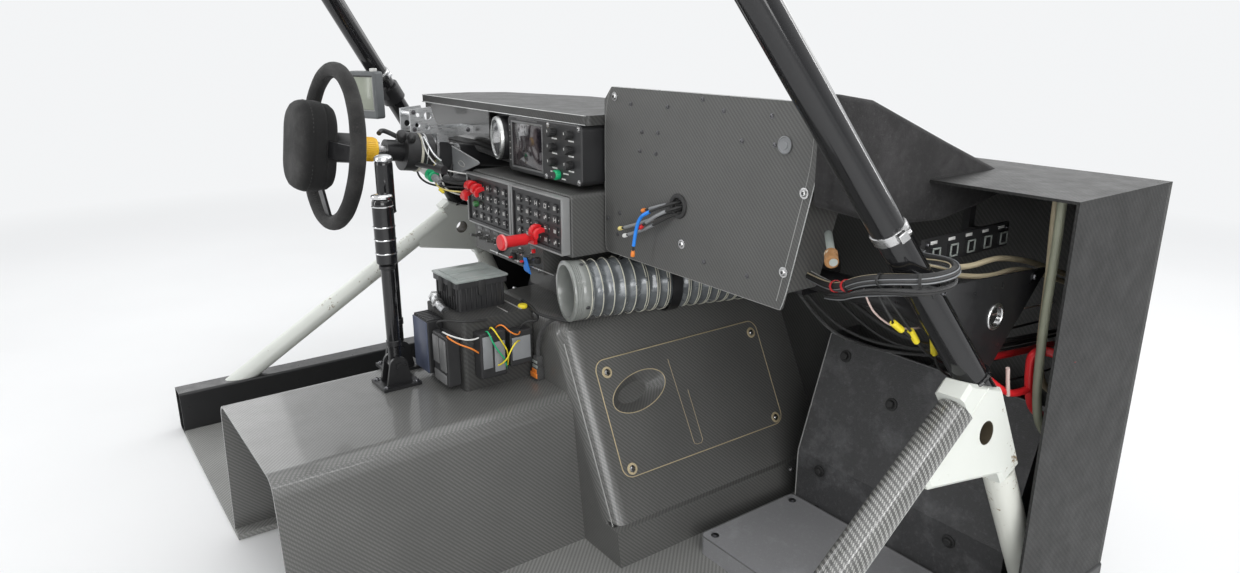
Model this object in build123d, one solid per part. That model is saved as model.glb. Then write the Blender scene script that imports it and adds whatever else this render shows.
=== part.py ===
from build123d import *
import os
from math import cos, radians, sin, tan

# Front cockpit section of a rally-raid car, in millimetres.
# X points to the car's right, Y to its front and Z up.
# The origin is on the ground, under the middle of the floor.

# Overall module
half_width = 860.0
half_length = 560.0
floor_t = 12.0
sill_w = 60.0
sill_h = 110.0
sill_wall = 3.0
skin_t = 4.0
bulkhead_t = 10.0
bulkhead_top = 744.0
side_inset = 2.0
side_panel_y0 = 290.0

# Tunnel: the front cover is high, the rear one carries the levers
tunnel_x = -50.0
tunnel_rear_y = -16.0
tunnel_top_z = 428.0
tunnel_top_half = 140.0
tunnel_ledge_z = 80.0
tunnel_ledge_half = 316.0
tunnel_ledge_w = 12.0
tunnel_foot_half = 340.0
tunnel_corner_r = 34.0
rear_tunnel_top_z = 300.0
rear_tunnel_top_half = 180.0
rear_tunnel_foot_half = 220.0
window_flange = 14.0
window_cut = 22.0

# Inspection cover on the right side of the tunnel
cover_y0 = 35.0
cover_y1 = 460.0
cover_z0 = 150.0
cover_z1 = 354.0
cover_t = 3.0
cover_corner_r = 22.0
window_corner_r = 40.0
cup_y = 120.0
cup_up = 152.0
cup_rx = 70.0
cup_ry = 38.0
cup_turn = 12.0
cup_depth = 28.0
cup_wall = 3.0
cup_taper = 0.55

# Roll cage
tube_r = 22.5
tube_wall = 3.0
node_x = 795.0
node_z = 500.0
cage_lean = 5.0
header_x = 607.0
header_y = -283.0
header_z = 1250.0
header_bend_r = 90.0
header_stub = 150.0
node_top_y = 208.0
node_top_rear = (168.0, 12.5)
node_top_front = (243.0, -11.0)
node_t = 44.0
node_edge_r = 5.0
node_hole_r = 17.0
leg_slope = 0.448
door_slope = 0.630
leg_axis_y = 215.0
leg_axis_z = 490.0
door_axis_y = 150.0
door_axis_z = 460.0
node_leg_end_z = 352.0
node_door_end_y = 70.0
sleeve_gap = 0.3
sleeve_t = 2.5
sleeve_length = 537.0
sleeve_top_y = 165.0
sleeve_end_gap = 1.0
node_cut = 60.0
gusset_x = 778.0
gusset_t = 4.0
gusset_hole_r = 14.0
gusset_hole_y = 262.0
gusset_hole_z = 580.0

# Dash bar between the two legs
dash_bar_r = 19.0
dash_bar_wall = 2.5
dash_bar_y = 200.0
dash_bar_z = 583.0
dash_bar_straight = 700.0
dash_bar_bend_r = 120.0

# Dash top and what stands in front of it
dash_top_z = 813.0
dash_half = 612.0
dash_left = 640.0
dash_lip_y = 50.0
dash_lip_h = 18.0
dash_skirt_h = 65.0
dash_corner_r = 12.0
fascia_bottom_z = 715.0
fascia_bend_r = 22.0
fascia_end = 16.0
end_cover_t = 28.0
scuttle_y0 = 212.0

# Co-driver's panel box
box_x0 = 100.0
box_slant = 59.0
box_end_gap = 1.0
box_x1 = dash_half - box_slant - box_end_gap
box_z0 = 561.0
box_z1 = 865.0
box_y = 85.0
box_plate_t = 3.0
box_inset = 16.0
box_depth = 88.0
box_wall = 4.0
box_clamp_in = 76.0
clamp_w = 30.0
clamp_half_h = 26.0
clamp_back = 6.0
box_hole_x = 312.0
box_hole_z = 680.0
box_hole_r = 15.0

# Display pod, round gauge, keypads and their housing
pod_x0 = -190.0
pod_x1 = 85.0
pod_y0 = 44.0
pod_y1 = 96.0
pod_z0 = 683.0
pod_z1 = 795.0
screen_w = 118.0
screen_h = 88.0
screen_inset = 18.0
knob_x = (-8.0, 50.0)
knob_z = (776.0, 748.0, 720.0)
knob_r = 7.0
knob_length = 12.0
button_x = 5.0
button_z = 697.0
pod_wing = 102.0
gauge_x = -238.0
gauge_y = 42.0
gauge_z = 744.0
gauge_r = 45.0
gauge_depth = 62.0
gauge_turn = -14.0
console_x0 = -304.0
console_x1 = 94.0
console_y0 = 14.0
console_y1 = 176.0
console_z1 = 672.0
keypad_t = 16.0
keypad_gap = 4.0
keypad_z0 = 560.0
keypad_z1 = 666.0
key_cols = 5
key_rows = 4
key_size = 15.0
key_h = 3.0
keypad_rim = 8.0
toggle_x = (-276.0, -240.0, -204.0, -160.0, -96.0, -48.0)
toggle_z = 530.0
toggle_r = 6.0
pull_x = -15.0
pull_z = 576.0
pull_length = 76.0
pull_r = 11.0
pull_end_r = 15.0

# Socket strip on the right, and the small screen on the left leg
strip_off = 64.0
strip_x = dash_half + strip_off
strip_t = 6.0
strip_arm_w = 16.0
strip_arm_h = 12.0
strip_hang = 93.0
strip_y0 = 230.0
strip_y1 = 450.0
strip_z = 653.0
strip_h = 38.0
socket_count = 5
socket_w = 18.0
socket_end = 22.0
screen_size = (86.0, 30.0, 112.0)
screen_z = 814.0
screen_turn = 25.0
screen_clamp_t = 6.0
screen_arm = 42.0

# Steering, measured along its axis from the middle of the wheel
wheel_x = -400.0
wheel_y = -254.5
wheel_z = 730.0
column_tilt = 7.4
rim_major_r = 156.5
rim_r = 16.0
spoke_t = 5.0
hub_r = 38.0
pad_w = 140.0
pad_h = 180.0
pad_t = 56.0
pad_gap = 30.0
release_r = 25.0
release_start = 58.0
release_length = 34.0
shaft_r = 11.0
shaft_length = 520.0
shaft_end_r = 9.0
shaft_end_length = 30.0
shaft_fit = 0.05
shaft_hole_r = 46.0
housing_r = 23.0
housing_start = 112.0
housing_end = 490.0
cluster_start = 150.0
cluster_length = 62.0
cluster_r = 42.0
hanger_start = 222.0
hanger_length = 30.0
hanger_ring_t = 6.0
hanger_t = 4.0
hanger_y0 = -92.0
hanger_z0 = 752.0
hanger_z1 = 804.0
hanger_foot_z = 742.0
hanger_foot_h = 16.0
side_plate_t = 4.0

# Levers on the rear tunnel
lever_pivot_z = 342.0
lever_barrel_r = 14.0
lever_barrel_w = 24.0
lever_pin_r = 6.0
lever_pin_fit = 0.05
lever_side_gap = 1.0
lever_shaft_r = 12.5
ear_t = 6.0
ear_r = 18.0
lever_base_t = 6.0
gear_x = -120.0
gear_y = -260.0
gear_top_z = 671.0
gear_grip_r = 19.0
gear_grip_length = 130.0
brake_x = -200.0
brake_y = -222.0
brake_top_z = 729.0
brake_grip_r = 17.0
brake_grip_length = 110.0

# Plinth with the fuse box and relay modules
plinth_x0 = -165.0
plinth_x1 = 0.0
plinth_y0 = -170.0
plinth_z1 = 440.0
fuse_h = 48.0
fuse_lid_t = 12.0

# Air duct
hose_x = 90.0
hose_y0 = 0.0
hose_turn = 14.0
hose_r = 52.0
hose_rib = 5.0
hose_wall = 3.0
hose_pitch = 22.0
collar_r = 57.0
collar_length = 34.0
spigot_length = 30.0

# Looms along the cage, over the tunnel and out of the panel box
side_loom_r = 8.0
side_loom_drop = 16.0
side_loom_thin_r = 5.0
tunnel_loom_r = 4.0
lead_r = 2.2
lead_tip_r = 3.8
lead_tip_length = 11.0

# Footwells
toe_y = 390.0
toe_knee_z = 150.0
toe_top_y = 466.0
toe_top_z = 385.0
toe_bottom_z = 12.0
toe_x0 = 340.0
toe_side_gap = 80.0
toe_x1 = half_width - toe_side_gap
toe_rib_t = 4.0
foot_plate_z = 50.0
foot_plate_x0 = 335.0
foot_plate_gap = 140.0
foot_plate_x1 = half_width - foot_plate_gap
foot_plate_y0 = 135.0
foot_plate_y1 = 385.0
pedal_x = (-440.0, -520.0, -605.0)
pedal_w = 60.0


def face_of(points, corner, plane):
    """A flat outline on a plane, with every corner rounded where corner is set."""
    outline = make_face(Polyline(*points, close=True))
    if corner:
        outline = fillet(outline.vertices(), corner)
    return plane * outline


def prism_x(points, x0, x1, corner=0.0):
    """Outline of (y, z) points, carried from x0 to x1."""
    plane = Plane(origin=(x0, 0, 0), x_dir=(0, 1, 0), z_dir=(1, 0, 0))
    return extrude(face_of(points, corner, plane), x1 - x0)


def prism_y(points, y0, y1, corner=0.0):
    """Outline of (x, z) points, carried from y0 to y1."""
    plane = Plane(origin=(0, y1, 0), x_dir=(1, 0, 0), z_dir=(0, -1, 0))
    return extrude(face_of(points, corner, plane), y1 - y0)


def prism_z(points, z0, z1, corner=0.0):
    """Outline of (x, y) points, carried from z0 to z1."""
    plane = Plane(origin=(0, 0, z0), x_dir=(1, 0, 0), z_dir=(0, 0, 1))
    return extrude(face_of(points, corner, plane), z1 - z0)


def block(x0, x1, y0, y1, z0, z1, edge=0.0):
    """Box between two corners, with all edges rounded where edge is set."""
    shape = Pos(x0, y0, z0) * Box(x1 - x0, y1 - y0, z1 - z0, align=(Align.MIN,) * 3)
    return fillet(shape.edges(), edge) if edge else shape


def rod(start, end, radius):
    """Solid round bar between two points."""
    axis = Vector(*end) - Vector(*start)
    place = Plane(origin=start, z_dir=axis)
    return place * Cylinder(radius, axis.length, align=(Align.CENTER, Align.CENTER, Align.MIN))


def pipe(start, end, radius, wall):
    """Tube between two points, open at both ends."""
    return rod(start, end, radius) - rod(start, end, radius - wall)


def bent_pipe(points, bend_r, radius, wall):
    """Tube along straight runs joined by tangent arcs."""
    path = FilletPolyline(*points, radius=bend_r)
    end_plane = Plane(origin=path @ 0, z_dir=path % 0)
    ring = Circle(radius) - Circle(radius - wall)
    return sweep(end_plane * ring, path=path)


AT_START = (Align.CENTER, Align.CENTER, Align.MIN)
gauge_place = Pos(gauge_x, gauge_y, gauge_z) * Rot(0, 0, gauge_turn) * Rot(-90, 0, 0)


def mirrored(shape):
    return mirror(shape, Plane.YZ)


def save(shape, name):
    export_step(shape, f"parts/{name}.step")


def save_pair(shape, name):
    """The right-hand piece and its mirror image."""
    save(shape, name + "_right")
    save(mirrored(shape), name + "_left")


def save_both(shape, name):
    """The right-hand piece and its mirror image in one node."""
    save(Compound(children=[shape, mirrored(shape)]), name)


# Roll cage: both legs, nodes and door bars stand in planes that lean inward going up
lean_tan = tan(radians(cage_lean))
cage_plane = Plane(
    origin=(node_x, 0, node_z),
    x_dir=(0, 1, 0),
    z_dir=(cos(radians(cage_lean)), 0, sin(radians(cage_lean))),
)


def on_cage(y, z):
    """Point of the leaning cage plane at a given y and z."""
    return Vector(node_x + (node_z - z) * lean_tan, y, z)


def on_leg(z):
    """Point on the axis of the upper leg at a given height."""
    part = (header_z - z) / (header_z - node_z)
    foot = on_cage(node_top_y, node_z)
    return Vector(
        header_x + part * (foot.X - header_x), header_y + part * (foot.Y - header_y), z
    )


left_leg_at = Pos(-on_leg(screen_z).X, on_leg(screen_z).Y, screen_z)
leg_axis = (on_leg(node_z) - on_leg(header_z)).normalized()
header_end = on_leg(header_z) + leg_axis * header_stub


def lower_axis(z):
    """Point on the axis of the lower leg at a given height."""
    return on_cage(leg_axis_y + (leg_axis_z - z) * leg_slope, z)


def door_axis(y):
    """Point on the axis of the door bar at a given y."""
    return on_cage(y, door_axis_z + (y - door_axis_y) * door_slope)


def cage_2d(point):
    """A point of the cage plane in that plane's own coordinates."""
    return (point.Y, (point.Z - node_z) / cos(radians(cage_lean)))


def branch_end(point, beyond):
    """The two corners of a branch's end, a tube radius each side of its axis."""
    y, up = cage_2d(point)
    y_next, up_next = cage_2d(beyond)
    across = Vector(up_next - up, y - y_next).normalized() * (tube_r + 0.5)
    return (y - across.X, up - across.Y), (y + across.X, up + across.Y)


def over_door_axis(top, bottom):
    """Block over the door bar's axis, where the node gives way to the round bar."""
    along = (top - bottom).normalized()
    out = Vector(0, -along.Z, along.Y) * node_cut
    low = bottom - along * node_cut
    points = [(spot.Y, spot.Z) for spot in (top, low, low + out, top + out)]
    return prism_x(points, top.X - node_t, bottom.X + node_t)


def node_top_plane():
    """Sloping cut where the black leg seats on the white node."""
    rise = node_top_front[1] - node_top_rear[1]
    run = node_top_front[0] - node_top_rear[0]
    start = cage_plane.origin + cage_plane.x_dir * node_top_rear[0]
    start += cage_plane.y_dir * node_top_rear[1]
    return Plane(origin=start, z_dir=cage_plane.y_dir * run - cage_plane.x_dir * rise)


def cage_node():
    leg_end = branch_end(lower_axis(node_leg_end_z), lower_axis(sill_h))
    door_end = branch_end(door_axis(node_door_end_y), door_axis(door_bar_end_y()))
    outline = [
        node_top_rear, node_top_front,
        leg_end[0], leg_end[1],
        (246.0, -140.0), (98.0, -113.0),
        door_end[0], door_end[1],
    ]
    flat = make_face(Polyline(*outline, close=True))
    body = extrude(flat, node_t / 2, both=True)
    rims = body.faces().filter_by(Axis.Z).edges()
    body = chamfer(rims, node_edge_r)
    hole = Pos(206.0, -66.0) * Cylinder(node_hole_r, node_t * 2)
    top, bottom = door_axis(sleeve_top_y), door_axis(node_door_end_y)
    return cage_plane * (body - hole) - over_door_axis(top, bottom) + rod(bottom, top, tube_r)


def upper_leg():
    shape = pipe(header_end, on_leg(node_z) + leg_axis * 60, tube_r, tube_wall)
    return split(shape, bisect_by=node_top_plane(), keep=Keep.TOP)


def lower_leg():
    start = lower_axis(node_leg_end_z)
    axis = (lower_axis(sill_h) - start).normalized()
    shape = pipe(start, lower_axis(sill_h) + axis * 60, tube_r, tube_wall)
    return split(shape, bisect_by=Plane(origin=(0, 0, sill_h), z_dir=(0, 0, 1)), keep=Keep.TOP)


def door_bar_end_y():
    return door_axis_y - (door_axis_z - sill_h) / door_slope


def door_bar():
    start = door_axis(node_door_end_y)
    end = door_axis(door_bar_end_y())
    axis = (end - start).normalized()
    shape = pipe(start, end + axis * 60, tube_r, tube_wall)
    return split(shape, bisect_by=Plane(origin=(0, 0, sill_h), z_dir=(0, 0, 1)), keep=Keep.TOP)


def door_sleeve():
    """Half shell that lies on the upper side of the right door bar."""
    start = door_axis(sleeve_top_y - sleeve_end_gap)
    axis = (door_axis(-100.0) - start).normalized()
    end = start + axis * sleeve_length
    inner = tube_r + sleeve_gap
    shape = rod(start, end, inner + sleeve_t) - rod(start, end, inner)
    upward = Vector(0, -axis.Z, axis.Y) if axis.Y > 0 else Vector(0, axis.Z, -axis.Y)
    return split(shape, bisect_by=Plane(origin=start, z_dir=upward), keep=Keep.TOP)


def header_bar():
    left_end = Vector(-header_end.X, header_end.Y, header_end.Z)
    points = [left_end, (-header_x, header_y, header_z), (header_x, header_y, header_z), header_end]
    return bent_pipe(points, header_bend_r, tube_r, tube_wall)


def dash_bar(legs):
    end = on_leg(dash_bar_z)
    points = [
        (-end.X, end.Y, dash_bar_z),
        (-dash_bar_straight, dash_bar_y, dash_bar_z),
        (dash_bar_straight, dash_bar_y, dash_bar_z),
        (end.X, end.Y, dash_bar_z),
    ]
    shape = bent_pipe(points, dash_bar_bend_r, dash_bar_r, dash_bar_wall)
    for leg in legs:
        shape -= leg
    return max(shape.solids(), key=lambda solid: solid.volume)


def gusset():
    points = [(100.0, 648.0), (387.0, 630.0), (gusset_hole_y, node_z), (190.0, 520.0)]
    plate = prism_x(points, gusset_x, gusset_x + gusset_t)
    at = Pos(gusset_x, gusset_hole_y, gusset_hole_z) * Rot(0, 90, 0)
    plate = plate - at * Cylinder(gusset_hole_r, gusset_t * 4)
    plate -= rod(on_leg(header_z), on_leg(node_z) + leg_axis * 30, tube_r)
    return max(plate.solids(), key=lambda solid: solid.center().Y)


# Floor, sills, bulkhead and side panels
def sill():
    outer = block(half_width - sill_w, half_width, -half_length, half_length, 0, sill_h)
    outer = fillet(outer.edges().filter_by(Axis.Y), 6.0)
    inner = block(
        half_width - sill_w + sill_wall, half_width - sill_wall,
        -half_length, half_length, sill_wall, sill_h - sill_wall,
    )
    return outer - inner


def floor_side(x0, x1):
    return block(x0, x1, -half_length, half_length, 0, floor_t)


def tunnel_outline(inward=0.0):
    """Half outline of the front tunnel cover, mirrored about tunnel_x."""
    right = [
        (tunnel_top_half - inward * 0.6, tunnel_top_z - inward),
        (tunnel_ledge_half - inward * 1.2, tunnel_ledge_z),
        (tunnel_ledge_half + tunnel_ledge_w - inward * 1.2, tunnel_ledge_z - inward),
        (tunnel_foot_half - inward, floor_t),
    ]
    left = [(-x, z) for x, z in reversed(right)]
    return [(tunnel_x + x, z) for x, z in right + left]


def tunnel_side_x(z):
    """The right side of the tunnel cover at a given height."""
    slope = (tunnel_ledge_half - tunnel_top_half) / (tunnel_top_z - tunnel_ledge_z)
    return tunnel_x + tunnel_top_half + (tunnel_top_z - z) * slope


side_plane_low = Vector(tunnel_side_x(cover_z0), 0, cover_z0)
side_plane_high = Vector(tunnel_side_x(cover_z1), 0, cover_z1)
side_up = (side_plane_high - side_plane_low).normalized()
side_plane = Plane(origin=side_plane_low, x_dir=(0, 1, 0), z_dir=(side_up.Z, 0, -side_up.X))
cover_height = (side_plane_high - side_plane_low).length


def side_rectangle(margin, corner):
    """Rounded rectangle on the tunnel's right side, inside the cover by a margin."""
    size = (cover_y1 - cover_y0 - 2 * margin, cover_height - 2 * margin)
    middle = Pos((cover_y0 + cover_y1) / 2, cover_height / 2)
    return side_plane * middle * RectangleRounded(*size, corner)


def shoulder_edges(shape):
    """The two long top edges and the rear end's edges, down to the ledge."""
    top_edges = shape.edges().filter_by(Axis.Y).group_by(Axis.Z)[-1]
    rear_edges = shape.faces().sort_by(Axis.Y)[0].edges().sort_by(Axis.Z)[-3:]
    return top_edges + rear_edges


def tunnel_cover():
    outer = prism_y(tunnel_outline(), tunnel_rear_y, half_length - bulkhead_t)
    inner = prism_y(tunnel_outline(skin_t), tunnel_rear_y + skin_t, half_length)
    outer = fillet(shoulder_edges(outer), tunnel_corner_r)
    inner = fillet(shoulder_edges(inner), tunnel_corner_r - skin_t)
    window = extrude(side_rectangle(window_flange, window_corner_r), window_cut, both=True)
    return outer - inner - window


def inspection_cover():
    plate = extrude(side_rectangle(0.0, cover_corner_r), cover_t)
    place = side_plane * Pos(cup_y, cup_up) * Rot(0, 0, cup_turn)
    flat = Ellipse(cup_rx, cup_ry)
    bottom = Ellipse(cup_rx * cup_taper, cup_ry * cup_taper)
    outer = loft([place * flat, place * Pos(0, 0, -cup_depth) * bottom])
    inner = loft([
        place * Pos(0, 0, cover_t) * Ellipse(cup_rx - cup_wall, cup_ry - cup_wall),
        place * Pos(0, 0, cup_wall - cup_depth)
        * Ellipse(cup_rx * cup_taper - cup_wall, cup_ry * cup_taper - cup_wall),
    ])
    return plate + outer - inner


def rear_tunnel():
    def outline(inward):
        top, foot = rear_tunnel_top_half - inward, rear_tunnel_foot_half - inward
        return [
            (tunnel_x - foot, floor_t), (tunnel_x - top, rear_tunnel_top_z - inward),
            (tunnel_x + top, rear_tunnel_top_z - inward), (tunnel_x + foot, floor_t),
        ]

    def rounded(shape, radius):
        return fillet(shape.edges().filter_by(Axis.Y).group_by(Axis.Z)[-1], radius)

    outer = prism_y(outline(0.0), -half_length, tunnel_rear_y)
    inner = prism_y(outline(skin_t), -half_length, tunnel_rear_y - skin_t)
    return rounded(outer, tunnel_corner_r) - rounded(inner, tunnel_corner_r - skin_t)


def bulkhead():
    low = half_width - sill_w
    wide = half_width - side_inset
    y0 = half_length - bulkhead_t
    right = [(low, floor_t), (low, sill_h), (wide, sill_h), (wide, bulkhead_top)]
    left = [(-x, z) for x, z in reversed(right)]
    sheet = prism_y(right + left, y0, half_length)
    inner = prism_y(tunnel_outline(skin_t), y0 - 1, half_length + 1)
    spigot = hose_point(half_length)
    hole = rod((spigot.X, y0 - 5, spigot.Z), (spigot.X, half_length + 5, spigot.Z), hose_r)
    return sheet - inner - hole - along_column(shaft_length, half_length, shaft_hole_r)


def side_panel():
    """Inner skin of the body side, outboard of the cage, from the sill to the scuttle."""
    x1 = half_width - side_inset
    y1 = half_length - bulkhead_t
    points = [
        (side_panel_y0, sill_h), (y1, sill_h), (y1, bulkhead_top), (side_panel_y0, bulkhead_top),
    ]
    return prism_x(points, x1 - skin_t, x1)


# Dash
dash_outline = [
    (-dash_left, dash_lip_y), (box_x0 - 8.0, dash_lip_y),
    (box_x0 - 8.0, box_y + box_plate_t + box_depth + 2.0),
    (dash_half, box_y + box_plate_t + box_depth + 2.0),
    (dash_half, 300.0), (360.0, 345.0), (-330.0, 345.0), (-590.0, 260.0), (-dash_left, 180.0),
]


def dash_top():
    z0 = dash_top_z - dash_skirt_h
    plan = make_face(Polyline(*dash_outline, close=True))
    rounded = fillet(plan.vertices(), dash_corner_r)
    outer = extrude(Pos(0, 0, z0) * rounded, dash_skirt_h)
    inner = extrude(Pos(0, 0, z0) * offset(rounded, -skin_t), dash_skirt_h - skin_t)
    lip_cut = block(-dash_left - 9, dash_half, 0, 150, z0 - 1, dash_top_z - dash_lip_h)
    return outer - inner - lip_cut


def driver_fascia():
    """Bent sheet under the dash lip: upright, then rolled under towards the column."""
    y0 = dash_lip_y + skin_t
    top = dash_top_z - skin_t
    y1 = y0 + 2 * fascia_bend_r

    def layer(inward):
        low = fascia_bottom_z + inward
        sheet = prism_x(
            [(y0 + inward, top), (y0 + inward, low + 8.0), (y1, low), (y1, top)],
            fascia_end - dash_left, pod_x0 - pod_wing,
        )
        return fillet(sheet.edges().filter_by(Axis.X).sort_by(Axis.Y)[:2].sort_by(Axis.Z)[:1],
                      fascia_bend_r - inward)

    return layer(0.0) - layer(skin_t)


def scuttle_panel():
    """Shelf from under the dash top to the bulkhead, wider ahead of the cage legs."""
    wide = half_width - side_inset
    right = [(dash_half, scuttle_y0), (dash_half, side_panel_y0), (wide, side_panel_y0), (wide, half_length)]
    left = [(-x, y) for x, y in reversed(right)]
    return prism_z(right + left, bulkhead_top, dash_top_z - dash_skirt_h) - end_cover()


def box_outline(inset):
    low = box_x1 - inset * 0.9
    return [
        (box_x0 + inset, box_z0 + inset), (low, box_z0 + inset),
        (box_x1 + box_slant - inset, 803.0), (box_x1 + box_slant - inset - 4.0, box_z1 - inset),
        (box_x0 + 22.0 + inset, box_z1 - inset), (box_x0 + inset, box_z1 - 24.0 - inset),
    ]


def panel_plate():
    plate = prism_y(box_outline(0.0), box_y, box_y + box_plate_t)
    plate = fillet(plate.edges().filter_by(Axis.Y), 8.0)
    hole = rod((box_hole_x, box_y - 5, box_hole_z), (box_hole_x, box_y + 9, box_hole_z), box_hole_r)
    return plate - hole


def panel_body():
    y0 = box_y + box_plate_t
    outer = prism_y(box_outline(box_inset), y0, y0 + box_depth)
    outer = fillet(outer.edges().filter_by(Axis.Y), 10.0)
    inner = prism_y(box_outline(box_inset + box_wall), y0 + box_wall, y0 + box_depth)
    hole = rod((box_hole_x, y0 - 5, box_hole_z), (box_hole_x, y0 + 9, box_hole_z), box_hole_r)
    return outer - inner - hole


def bar_clamp(x0, x1, foot_y):
    """Saddle on the dash bar, with a foot that reaches back to a box."""
    back = dash_bar_y + dash_bar_r + clamp_back
    body = block(x0, x1, foot_y, back, dash_bar_z - clamp_half_h, dash_bar_z + clamp_half_h)
    body = fillet(body.edges().filter_by(Axis.X), 4.0)
    return body - rod((x0 - 1, dash_bar_y, dash_bar_z), (x1 + 1, dash_bar_y, dash_bar_z), dash_bar_r)


def dash_clamps():
    box_back = box_y + box_plate_t + box_depth
    box_ends = (box_x0 + box_clamp_in, box_x1 - box_clamp_in + 4.0)
    console_ends = (console_x0 + clamp_w / 2, console_x1 - clamp_w * 1.5)
    shapes = [bar_clamp(x, x + clamp_w, box_back) for x in box_ends]
    shapes += [bar_clamp(x, x + clamp_w, console_y1) for x in console_ends]
    return Compound(children=shapes)


def display_pod():
    body = block(pod_x0, pod_x1, pod_y0, pod_y1, pod_z0, pod_z1)
    body = fillet(body.edges().filter_by(Axis.Y), 12.0)
    body = fillet(body.faces().sort_by(Axis.Y)[0].edges(), 3.0)
    x0 = pod_x0 + screen_inset
    z0 = (pod_z0 + pod_z1 - screen_h) / 2
    screen = block(x0, x0 + screen_w, pod_y0 - 1, pod_y0 + 3, z0, z0 + screen_h)
    wing = block(
        pod_x0 - pod_wing, pod_x0 + 14.0, pod_y0 + 26.0, pod_y1, gauge_z - gauge_r - 8.0, pod_z1
    )
    wing = fillet(wing.edges().filter_by(Axis.Y).group_by(Axis.X)[0], 28.0)
    barrel = Cylinder(gauge_r, gauge_depth * 3, align=AT_START)
    spots = [(x, z) for x in knob_x for z in knob_z] + [(button_x, button_z)]
    knobs = [rod((x, pod_y0 - knob_length, z), (x, pod_y0 + 2, z), knob_r) for x, z in spots]
    return body + wing + knobs - screen - gauge_place * barrel


def gauge():
    ring = Cylinder(gauge_r, gauge_depth, align=AT_START)
    ring = fillet(ring.edges().sort_by(Axis.Z)[0], 5.0)
    dial = Cylinder(gauge_r - 8.0, 12.0)
    return gauge_place * (ring - dial)


def console_housing():
    body = block(console_x0, console_x1, console_y0, console_y1, tunnel_top_z, console_z1)
    body = fillet(body.edges().filter_by(Axis.Y), 8.0)
    body = fillet(body.faces().sort_by(Axis.Y)[0].edges(), 3.0)
    under = block(console_x0 - 1, console_x1 + 1, console_y0 - 1, 90.0, tunnel_top_z - 1, 498.0)
    right = block(-10.0, console_x1 + 1, 0.0, console_y1 + 1, tunnel_top_z - 1, 556.0)
    left = block(console_x0 - 1, -196.0, 0.0, console_y1 + 1, tunnel_top_z - 1, 498.0)
    toggles = [
        rod((x, console_y0 - 10.0, toggle_z), (x, console_y0 + 2, toggle_z), toggle_r)
        + rod((x, console_y0 - 24.0, toggle_z + 4), (x, console_y0 - 8, toggle_z), toggle_r / 2)
        for x in toggle_x
    ]
    return body - under - right - left + toggles


def keypad(x0, x1):
    y1 = console_y0
    y0 = y1 - keypad_t
    body = block(x0, x1, y0, y1, keypad_z0, keypad_z1)
    body = fillet(body.edges().filter_by(Axis.Y), 4.0)
    rim = keypad_rim
    field = block(x0 + rim, x1 - rim, y0 - 1, y0 + key_h, keypad_z0 + rim, keypad_z1 - rim)
    shape = body - field
    step_x = (x1 - x0 - 3 * rim) / key_cols
    step_z = (keypad_z1 - keypad_z0 - 2.5 * rim) / key_rows
    half = key_size / 2
    for col in range(key_cols):
        for row in range(key_rows):
            x = x0 + 1.5 * rim + step_x * (col + 0.5)
            z = keypad_z0 + 1.25 * rim + step_z * (row + 0.5)
            shape += block(x - half, x + half, y0, y0 + key_h, z - half, z + half)
    return shape


def pull_handle():
    """Round pull knob that stands out of the keypad's lower edge."""
    face = console_y0 - keypad_t
    half = pull_length / 2
    grip = rod((pull_x, face - pull_length, pull_z), (pull_x, face - half / 2, pull_z), pull_r)
    end = rod((pull_x, face - pull_length, pull_z), (pull_x, face - pull_length + 8, pull_z), pull_end_r)
    stem = rod((pull_x, face - half, pull_z), (pull_x, face, pull_z), pull_r / 2)
    base = block(pull_x - pull_r, pull_x + pull_r, face - 8, face, pull_z - pull_r, pull_z + pull_r)
    return fillet(end.edges(), 3.0) + grip + stem + base


def end_cover():
    """Leaf-shaped cover on the end of the dash, given as (y, height over the dash top)."""
    outline = [
        (70.0, 67.0), (150.0, 55.0), (330.0, -13.0), (500.0, -75.0),
        (516.0, -101.0), (440.0, -119.0), (331.0, -132.0), (200.0, -123.0), (70.0, -83.0),
    ]
    x0 = dash_half
    body = prism_x([(y, dash_top_z + up) for y, up in outline], x0, x0 + end_cover_t, 12.0)
    return fillet(body.faces().sort_by(Axis.X)[-1].edges(), 8.0)


def service_strip():
    """Plate with a row of square sockets, hung under the dash end cover on two posts."""
    x0 = strip_x
    shape = block(x0, x0 + strip_t, strip_y0, strip_y1, strip_z - strip_h / 2, strip_z + strip_h / 2)
    post_x = dash_half + end_cover_t / 2
    half_w, half_h = strip_arm_w / 2, strip_arm_h / 2
    for y in (strip_y0 + socket_end, strip_y1 - socket_end):
        shape += block(post_x, x0, y - half_w, y + half_w, strip_z - half_h, strip_z + half_h)
        shape += block(
            post_x - half_h, post_x + half_h, y - half_w, y + half_w,
            strip_z - half_h, dash_top_z - strip_hang,
        )
    pitch = (strip_y1 - strip_y0 - 2 * socket_end) / (socket_count - 1)
    half = socket_w / 2
    for index in range(socket_count):
        y = strip_y0 + socket_end + pitch * index
        socket = block(
            x0, x0 + 2 * strip_t, y - half, y + half, strip_z - 1.3 * half, strip_z + 0.7 * half
        )
        shape += socket - block(
            x0 + strip_t, x0 + 3 * strip_t, y - half + 3, y + half - 3,
            strip_z - 1.3 * half + 3, strip_z + 0.7 * half - 3,
        )
    return shape - end_cover()


def leg_screen():
    """Small display on the left leg, turned towards the driver."""
    body = Box(screen_size[0], screen_size[1], screen_size[2])
    body = fillet(body.edges(), 6.0)
    face = Pos(0, -screen_size[1] / 2, 4) * Box(66, 3, 78)
    stand_off = tube_r + screen_arm + screen_size[1] / 2
    return left_leg_at * Rot(0, 0, screen_turn) * Pos(0, -stand_off, 0) * (body - face)


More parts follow.
